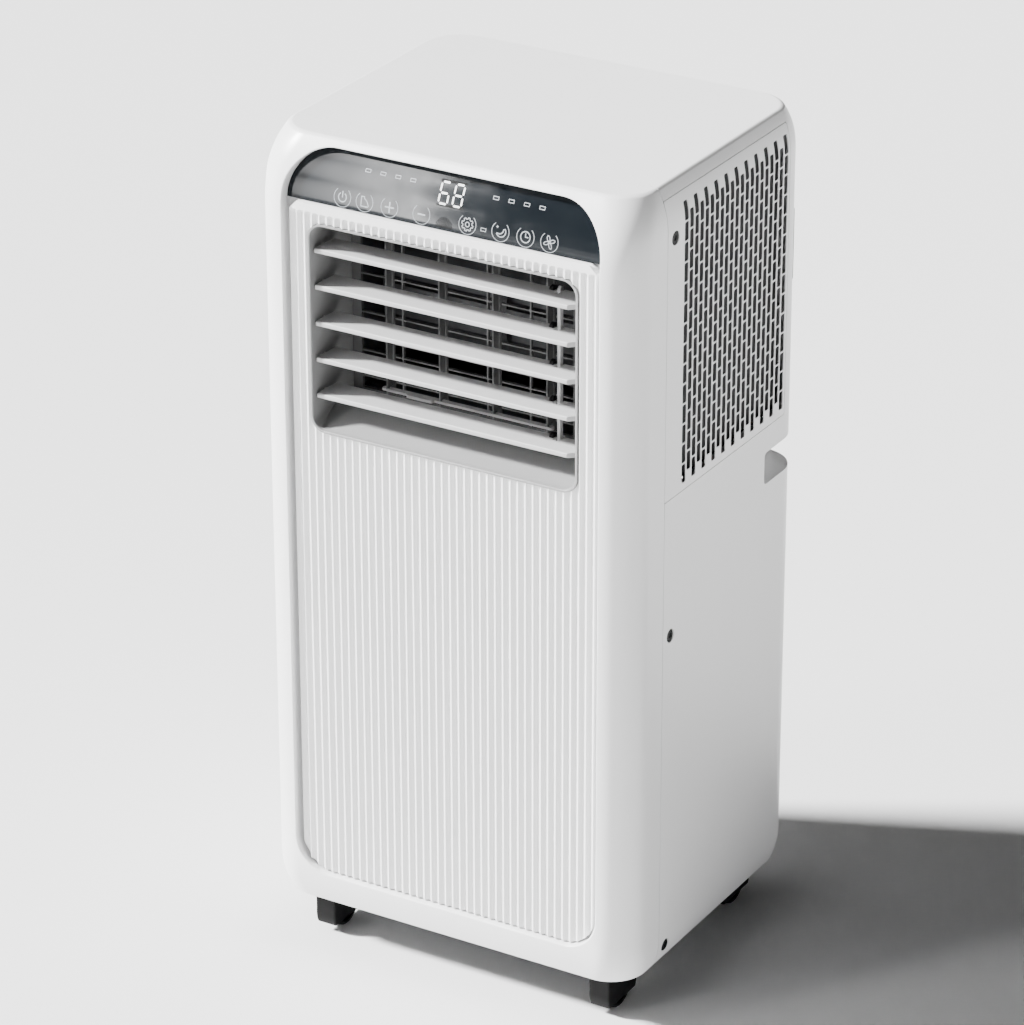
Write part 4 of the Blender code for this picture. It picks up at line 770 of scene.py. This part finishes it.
def blades():
    """The five louver blades, their snaps, and the upright bar that joins them."""
    half = OUTLET_HALF - 0.0015
    for index in range(5):
        z = BLADE_TOP - BLADE_PITCH * index
        nose, tail = PIVOT_Y - 0.0135, PIVOT_Y + 0.0135
        section = [(tail, z - 0.0008), (tail + 0.0002, z), (tail, z + 0.0008), (nose + 0.006, z + 0.0019)]
        section += arc((nose + 0.0011, z + 0.0009), 0.0011, 90, 180, 5)
        section += arc((nose + 0.0011, z - 0.0009), 0.0011, 180, 270, 5)
        section.append((nose + 0.006, z - 0.0019))
        blade = prisms("louver_%d" % (index + 1), [section], "x", -half, half)
        corner = [(half + 0.01, nose - 0.01), (half + 0.01, nose + 0.0075), (half, nose + 0.0075),
                  (half - 0.0080, nose - 0.0001), (half - 0.0080, nose - 0.01)]
        cut(blade, block("fork", (LINK_X - 0.00225, PIVOT_Y + 0.004, z - 0.01),
                         (LINK_X + 0.00225, PIVOT_Y + 0.03, z + 0.01)),
            prisms("corner", [corner], "z", z - 0.01, z + 0.01))
        pins = prisms("pins", [ring((PIVOT_Y, z), 0.0016, 24)], "x", -half - 0.006, half + 0.006)
        peg = prisms("peg", [ring((PEG_Y, z), 0.0010, 20)], "x", LINK_X - 0.0046, LINK_X + 0.0046)
        carve(blade, "UNION", pins)
        carve(blade, "UNION", peg)
        body = "louver_blade_%d" % (index + 1)
        finished(blade, body, [body], GREY)
        snap = lathe("louver_snap_%d" % (index + 1),
                     [(0, LINK_X - 0.0082), (0.0032, LINK_X - 0.0080), (0.0040, LINK_X - 0.0072),
                      (0.0040, LINK_X - 0.0040), (0.0011, LINK_X - 0.0036), (0.0011, LINK_X - 0.0024),
                      (0, LINK_X - 0.0024)], "x", (PEG_Y, z), 32)
        finished(snap, body, paint=BLACK)
    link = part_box("louver_link")
    bar = prisms("louver_tie_bar", [rounded(link[0].y, link[1].y, link[0].z, link[1].z, 0.0018, steps=6)],
                 "x", link[0].x, link[1].x)
    holes = [ring((PEG_Y, BLADE_TOP - BLADE_PITCH * i), 0.0013, 20) for i in range(5)]
    holes += [rounded(PEG_Y - 0.0006, PEG_Y + 0.0006, BLADE_TOP - BLADE_PITCH * i - 0.023,
                      BLADE_TOP - BLADE_PITCH * i - 0.007, 0.0005, steps=3) for i in range(4)]
    cut(bar, prisms("bar_holes", holes, "x", link[0].x - 0.01, link[1].x + 0.01))
    finished(bar, "louver_link", ["louver_link"], GREY)


def vanes():
    """The four upright vanes and the level bar, with its thumb tab, that joins them."""
    for index in range(4):
        body = "vane_%d" % (index + 1)
        x = VANE_PITCH * (index - 1.5)
        low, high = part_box(body)[0].z + WALL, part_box(body)[1].z - WALL
        plan = rounded(x - 0.0008, x + 0.0008, VANE_Y - 0.009, VANE_Y + 0.0035, 0.00075, steps=5)
        plate = prisms("upright_vane_%d" % (index + 1), [plan], "z", low, high)
        cut(plate, block("notch", (x - 0.01, VANE_Y - 0.02, VANE_LINK_Z - 0.0015),
                         (x + 0.01, VANE_Y - 0.002, VANE_LINK_Z + 0.0015)))
        carve(plate, "UNION", prisms("pin", [ring((x, VANE_Y), 0.0016, 24)], "z", low - WALL, high + WALL))
        carve(plate, "UNION", prisms("peg", [ring((x, VANE_PEG_Y), 0.0010, 20)], "z",
                                     VANE_LINK_Z - 0.004, VANE_LINK_Z + 0.004))
        # The vanes wear the painted-shade grey.
        finished(plate, body, [body], INNER_PAINTED_SHADE)
    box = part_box("vane_link")
    strip = rounded(box[0].x, box[1].x, VANE_PEG_Y - 0.0025, VANE_PEG_Y + 0.0025, 0.0022, steps=6)
    bar = prisms("vane_tie_bar", [strip], "z", VANE_LINK_Z - 0.001, VANE_LINK_Z + 0.001)
    thumb = rounded(-0.0515, -0.0285, VANE_PEG_Y - 0.0055, VANE_PEG_Y + 0.0015, 0.0014, steps=5)
    carve(bar, "UNION", prisms("tab", [thumb], "z", VANE_LINK_Z - 0.0009, VANE_LINK_Z + 0.0014))
    holes = [ring((VANE_PITCH * (i - 1.5), VANE_PEG_Y), 0.0013, 20) for i in range(4)]
    cut(bar, prisms("bar_holes", holes, "z", VANE_LINK_Z - 0.01, VANE_LINK_Z + 0.01))
    finished(bar, "vane_link", ["vane_link"], GREY)


# ---------------------------------------------------------------- back
def rear_cover():
    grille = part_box("rear_grille")
    outline = rounded(grille[0].x, grille[1].x, grille[0].z, grille[1].z, 0.0036, steps=6)
    cover = prisms("rear_cover", [outline], "y", REAR - WALL, REAR)
    slots = []
    rows, columns = 12, 3
    tall, wide = (grille[1].z - grille[0].z - 0.014) / rows, (grille[1].x - grille[0].x - 0.014) / columns
    for row in range(rows):
        for column in range(columns):
            x, z = grille[0].x + 0.007 + wide * column, grille[0].z + 0.007 + tall * row
            slots.append(rounded(x + 0.003, x + wide - 0.003, z + 0.0028, z + tall - 0.0028, 0.0040,
                                 steps=6))
    cut(cover, prisms("slots", slots, "y", REAR - 0.01, REAR + 0.01))
    finished(cover, "rear_cover", ["rear_grille"], WHITE)


def hose_collar():
    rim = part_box("exhaust_collar")[1].y
    inner, outer = COLLAR_BORE, COLLAR_OUTSIDE
    profile = [(inner, REAR - 0.010), (outer, REAR - 0.010), (outer, REAR + 0.0003), (0.074, REAR + 0.0003),
               (0.074, REAR + 0.0018), (0.0733, REAR + 0.0025), (0.0688, REAR + 0.0025),
               (outer, REAR + 0.0033), (outer, rim - 0.0012), (outer - 0.0005, rim - 0.0003),
               (outer - 0.0012, rim), (inner + 0.0012, rim), (inner + 0.0004, rim - 0.0004),
               (inner, rim - 0.0012)]
    collar = lathe("hose_collar", profile, "y", (0.0, COLLAR_Z), 96)
    inside = REAR - 0.003
    bar_pitch, bar_half, sink = 0.0115, 0.0011, 0.066
    for i in range(-5, 6):
        reach = math.sqrt(sink ** 2 - (bar_pitch * i) ** 2)
        bar = rounded(-reach, reach, COLLAR_Z + bar_pitch * i - bar_half,
                      COLLAR_Z + bar_pitch * i + bar_half, 0.0010, steps=3)
        carve(collar, "UNION", prisms("bar", [bar], "y", inside - 0.003, inside))
    post = COLLAR_BORE + 0.0005
    carve(collar, "UNION", block("post", (-0.0012, inside - 0.0035, COLLAR_Z - post),
                                 (0.0012, inside - 0.0005, COLLAR_Z + post)))
    finished(collar, "cabinet", ["exhaust_collar"], GREY)


def back_fittings():
    """The cord cleat, the cord gland and the two drain plugs."""
    cleat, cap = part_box("cord_cleat"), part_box("cord_cleat_cap")
    rise = cleat[1].y - cleat[0].y
    side = [(cleat[0].y, cleat[0].z), (cleat[1].y, cleat[0].z + rise), (cleat[1].y, cleat[1].z - rise),
            (cleat[0].y, cleat[1].z)]
    made = prisms("cleat_block", [side], "x", cleat[0].x, cleat[1].x)
    finished(made, "cabinet", ["cord_cleat"], WHITE, bevel=0.0008)
    made = prisms("cleat_cap", [rounded(cap[0].x, cap[1].x, cap[0].z, cap[1].z, 0.003, steps=6)], "y",
                  cap[0].y, cap[1].y)
    finished(made, "cabinet", ["cord_cleat_cap"], BLACK, bevel=0.0008)

    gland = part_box("cord_gland")
    out = gland[1].y
    profile = [(0, gland[0].y), (0.009, gland[0].y), (0.009, REAR + 0.0003), (0.0115, REAR + 0.0003),
               (0.0115, REAR + 0.0014), (0.0105, REAR + 0.0022), (0.0078, out - 0.0007), (0.0063, out),
               (0.0048, out), (0.0044, out - 0.0010), (0.0044, REAR), (0, REAR)]
    made = lathe("cable_gland", profile, "y", (GLAND_X, GLAND_Z), 48)
    finished(made, "cabinet", ["cord_gland"], BLACK)
    for name, z in (("drain_plug_lower", PLUG_LOWER_Z), ("drain_plug_upper", PLUG_UPPER_Z)):
        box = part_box(name)
        face = box[1].y
        profile = [(0, box[0].y), (0.0052, box[0].y), (0.006, box[0].y + 0.001), (0.006, REAR + 0.0003),
                   (0.0094, REAR + 0.0003), (0.010, REAR + 0.0009), (0.010, REAR + 0.0018),
                   (0.0092, face - 0.0002), (0.0074, face), (0.0066, face - 0.0006),
                   (0.0030, face - 0.0006), (0.0022, face), (0, face)]
        finished(lathe(name + "_cap", profile, "y", (PLUG_X, z), 48), name, [name], RUBBER)


# ---------------------------------------------------------------- casters
def casters():
    for mark in ("front_right", "front_left", "rear_right", "rear_left"):
        hood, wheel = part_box("caster_hood_" + mark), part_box("caster_wheel_" + mark)
        x = (hood[0].x + hood[1].x) / 2
        axle_y, radius = (wheel[0].y + wheel[1].y) / 2, (wheel[1].z - wheel[0].z) / 2
        along = axle_y - 0.010
        crown, top = radius + 0.0045, BASE - 0.0005
        start = math.degrees(math.asin((0.008 - radius) / crown))
        end = math.degrees(math.asin(min((top - radius) / crown, 1.0)))
        side = arc((axle_y, radius), crown, start, end, 28)
        side += [(along - 0.0085, top), (along - 0.0120, top - 0.0012), (along - 0.0132, top - 0.0045)]
        side += arc((axle_y, radius), 0.0235, 172, 206, 8) + [(along - 0.0025, 0.008)]
        made = prisms("hood_" + mark, [side], "x", hood[0].x + 0.003, hood[1].x - 0.003)
        step = made.modifiers.new("rounding", "BEVEL")
        step.width, step.segments, step.limit_method = 0.0030, 4, "ANGLE"
        step.angle_limit = math.radians(50)
        settle(made)
        half = (wheel[1].x - wheel[0].x) / 2 + 0.0006
        cut(made, prisms("well", [ring((axle_y, radius), radius + 0.0006, 64)], "x", x - half, x + half))
        carve(made, "UNION", prisms("axle", [ring((axle_y, radius), 0.003, 32)], "x", hood[0].x + 0.004,
                                    hood[1].x - 0.004))
        carve(made, "UNION", prisms("stem", [ring((x, along), 0.0085, 40)], "z", top - 0.0025, hood[1].z))
        body = "caster_" + mark
        finished(made, body, ["caster_hood_" + mark], BLACK)
        w = wheel[1].x - x
        half_profile = [(0.0033, 0.001), (0.0060, 0.001), (0.0065, 0.002), (0.0135, 0.002), (0.0142, 0.0),
                        (radius - 0.0022, 0.0), (radius - 0.0005, 0.0010), (radius, 0.003)]
        groove = [(radius, x - 0.0008), (radius - 0.0007, x - 0.0006), (radius - 0.0007, x + 0.0006),
                  (radius, x + 0.0008)]
        profile = [(r, x - w + inset) for r, inset in half_profile] + groove
        profile += [(r, x + w - inset) for r, inset in half_profile[::-1]]
        tyre = lathe("wheel_" + mark, profile, "x", (axle_y, radius), 72)
        finished(tyre, "caster_wheel_" + mark, ["caster_wheel_" + mark], BLACK)


# ---------------------------------------------------------------- inside, stage
def dress_frame():
    """Give every CAD node that still shows its own finish."""
    finishes = {"compressor": PAINT, "condenser": FINS, "evaporator": FINS, "suction_pipe": COPPER,
                "discharge_pipe": COPPER, "control_board": BOARD, "electrical_box": BOX,
                "blower_motor": STEEL, "exhaust_fan_motor": STEEL, "run_capacitor": STEEL,
                "rear_filter": REAR_MESH, "side_filter_right": MESH, "side_filter_left": MESH}
    for name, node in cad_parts.items():
        if node.hide_render:
            continue
        paint = finishes.get(name, DARK)
        for place in node.material_slots:
            place.material = paint


def stage():
    shape = bmesh.new()
    bmesh.ops.create_grid(shape, x_segments=1, y_segments=1, size=30.0)
    floor = thing("studio_floor", shape)
    made, tree, shader = nodes_of("studio_floor")
    shader.inputs["Base Color"].default_value = (0.80, 0.80, 0.80, 1.0)
    shader.inputs["Roughness"].default_value = 0.9
    bump = tree.nodes.new("ShaderNodeBump")
    bump.inputs["Strength"].default_value = 0.01
    wire(tree, noise(tree, 40.0), "Fac", bump, "Height")
    wire(tree, bump, "Normal", shader, "Normal")
    floor.data.materials.append(made)
    world = bpy.data.worlds.new("studio")
    world.use_nodes = True
    world.node_tree.nodes["Background"].inputs["Color"].default_value = (1, 1, 1, 1)
    world.node_tree.nodes["Background"].inputs["Strength"].default_value = WORLD_LIGHT
    bpy.context.scene.world = world
    sun = bpy.data.lights.new("key", "SUN")
    sun.energy, sun.angle = KEY_LIGHT, math.radians(7)
    lamp = bpy.data.objects.new("key", sun)
    bpy.context.scene.collection.objects.link(lamp)
    turn, rise = math.radians(27), math.radians(36)
    travel = Vector((math.cos(turn) * math.cos(rise), math.sin(turn) * math.cos(rise), -math.sin(rise)))
    lamp.rotation_mode = "QUATERNION"
    lamp.rotation_quaternion = travel.to_track_quat("-Z", "Y")
    light("front_fill", (-1.6, -3.2, 0.7), (0, 0, 0.35), 2.0, 1.0, FILL_LIGHT)
    reflector()


def reflector():
    """A tall narrow lit card, well to the front left, that shows as a sheen in the glossy lens."""
    near = [(-5.50, 0.0), (-5.36, 1.92), (-4.42, 3.92), (-3.39, 4.96)]
    far = [(-4.90, 0.0), (-4.84, 1.8), (-4.02, 3.58), (-3.12, 4.51)]
    shape = bmesh.new()
    across = shape.loops.layers.uv.new("across")
    rows = [[shape.verts.new((-3.0, y, z)) for y, z in side] for side in (near, far)]
    for i in range(3):
        face = shape.faces.new((rows[0][i], rows[0][i + 1], rows[1][i + 1], rows[1][i]))
        for loop in face.loops:
            loop[across].uv = (0.0 if loop.vert in rows[0] else 1.0, i / 3)
    card = thing("reflector_card", shape)
    made, tree, shader = nodes_of("reflector_card")
    shader.inputs["Base Color"].default_value = (0.0, 0.0, 0.0, 1.0)
    shader.inputs["Emission Color"].default_value = (1.0, 1.0, 1.0, 1.0)
    where = tree.nodes.new("ShaderNodeTexCoord")
    apart = tree.nodes.new("ShaderNodeSeparateXYZ")
    fade = tree.nodes.new("ShaderNodeMapRange")
    fade.inputs["To Min"].default_value = CARD_LIGHT
    fade.inputs["To Max"].default_value = CARD_LIGHT * 0.15
    wire(tree, where, "UV", apart, "Vector")
    wire(tree, apart, "X", fade, "Value")
    wire(tree, fade, "Result", shader, "Emission Strength")
    card.data.materials.append(made)


def light(name, where, at, wide, tall, power):
    data = bpy.data.lights.new(name, "AREA")
    data.shape = "RECTANGLE"
    data.size, data.size_y, data.energy = wide, tall, power
    lamp = bpy.data.objects.new(name, data)
    bpy.context.scene.collection.objects.link(lamp)
    lamp.location = where
    lamp.rotation_mode = "QUATERNION"
    lamp.rotation_quaternion = (Vector(at) - Vector(where)).to_track_quat("-Z", "Y")


def camera():
    azimuth, elevation, roll = (math.radians(a) for a in (30.703, 25.219, -0.123))
    behind = Vector((math.sin(azimuth) * math.cos(elevation), -math.cos(azimuth) * math.cos(elevation),
                     math.sin(elevation)))
    right = Vector((math.cos(azimuth), math.sin(azimuth), 0.0))
    up = behind.cross(right)
    turned_right = right * math.cos(roll) + up * math.sin(roll)
    turned_up = up * math.cos(roll) - right * math.sin(roll)
    data = bpy.data.cameras.new("camera")
    data.lens = 165.2
    data.sensor_width = 36.0
    made = bpy.data.objects.new("camera", data)
    bpy.context.scene.collection.objects.link(made)
    turn = Matrix((turned_right, turned_up, behind)).transposed().to_4x4()
    made.matrix_world = Matrix.Translation((1.68743, -2.87876, 1.92963)) @ turn
    bpy.context.scene.camera = made


front_casing()
rear_casing()
side_grilles()
screws()
front_panel()
lens()
icons()
outlet()
blades()
vanes()
rear_cover()
hose_collar()
back_fittings()
casters()
dress_frame()
stage()
camera()
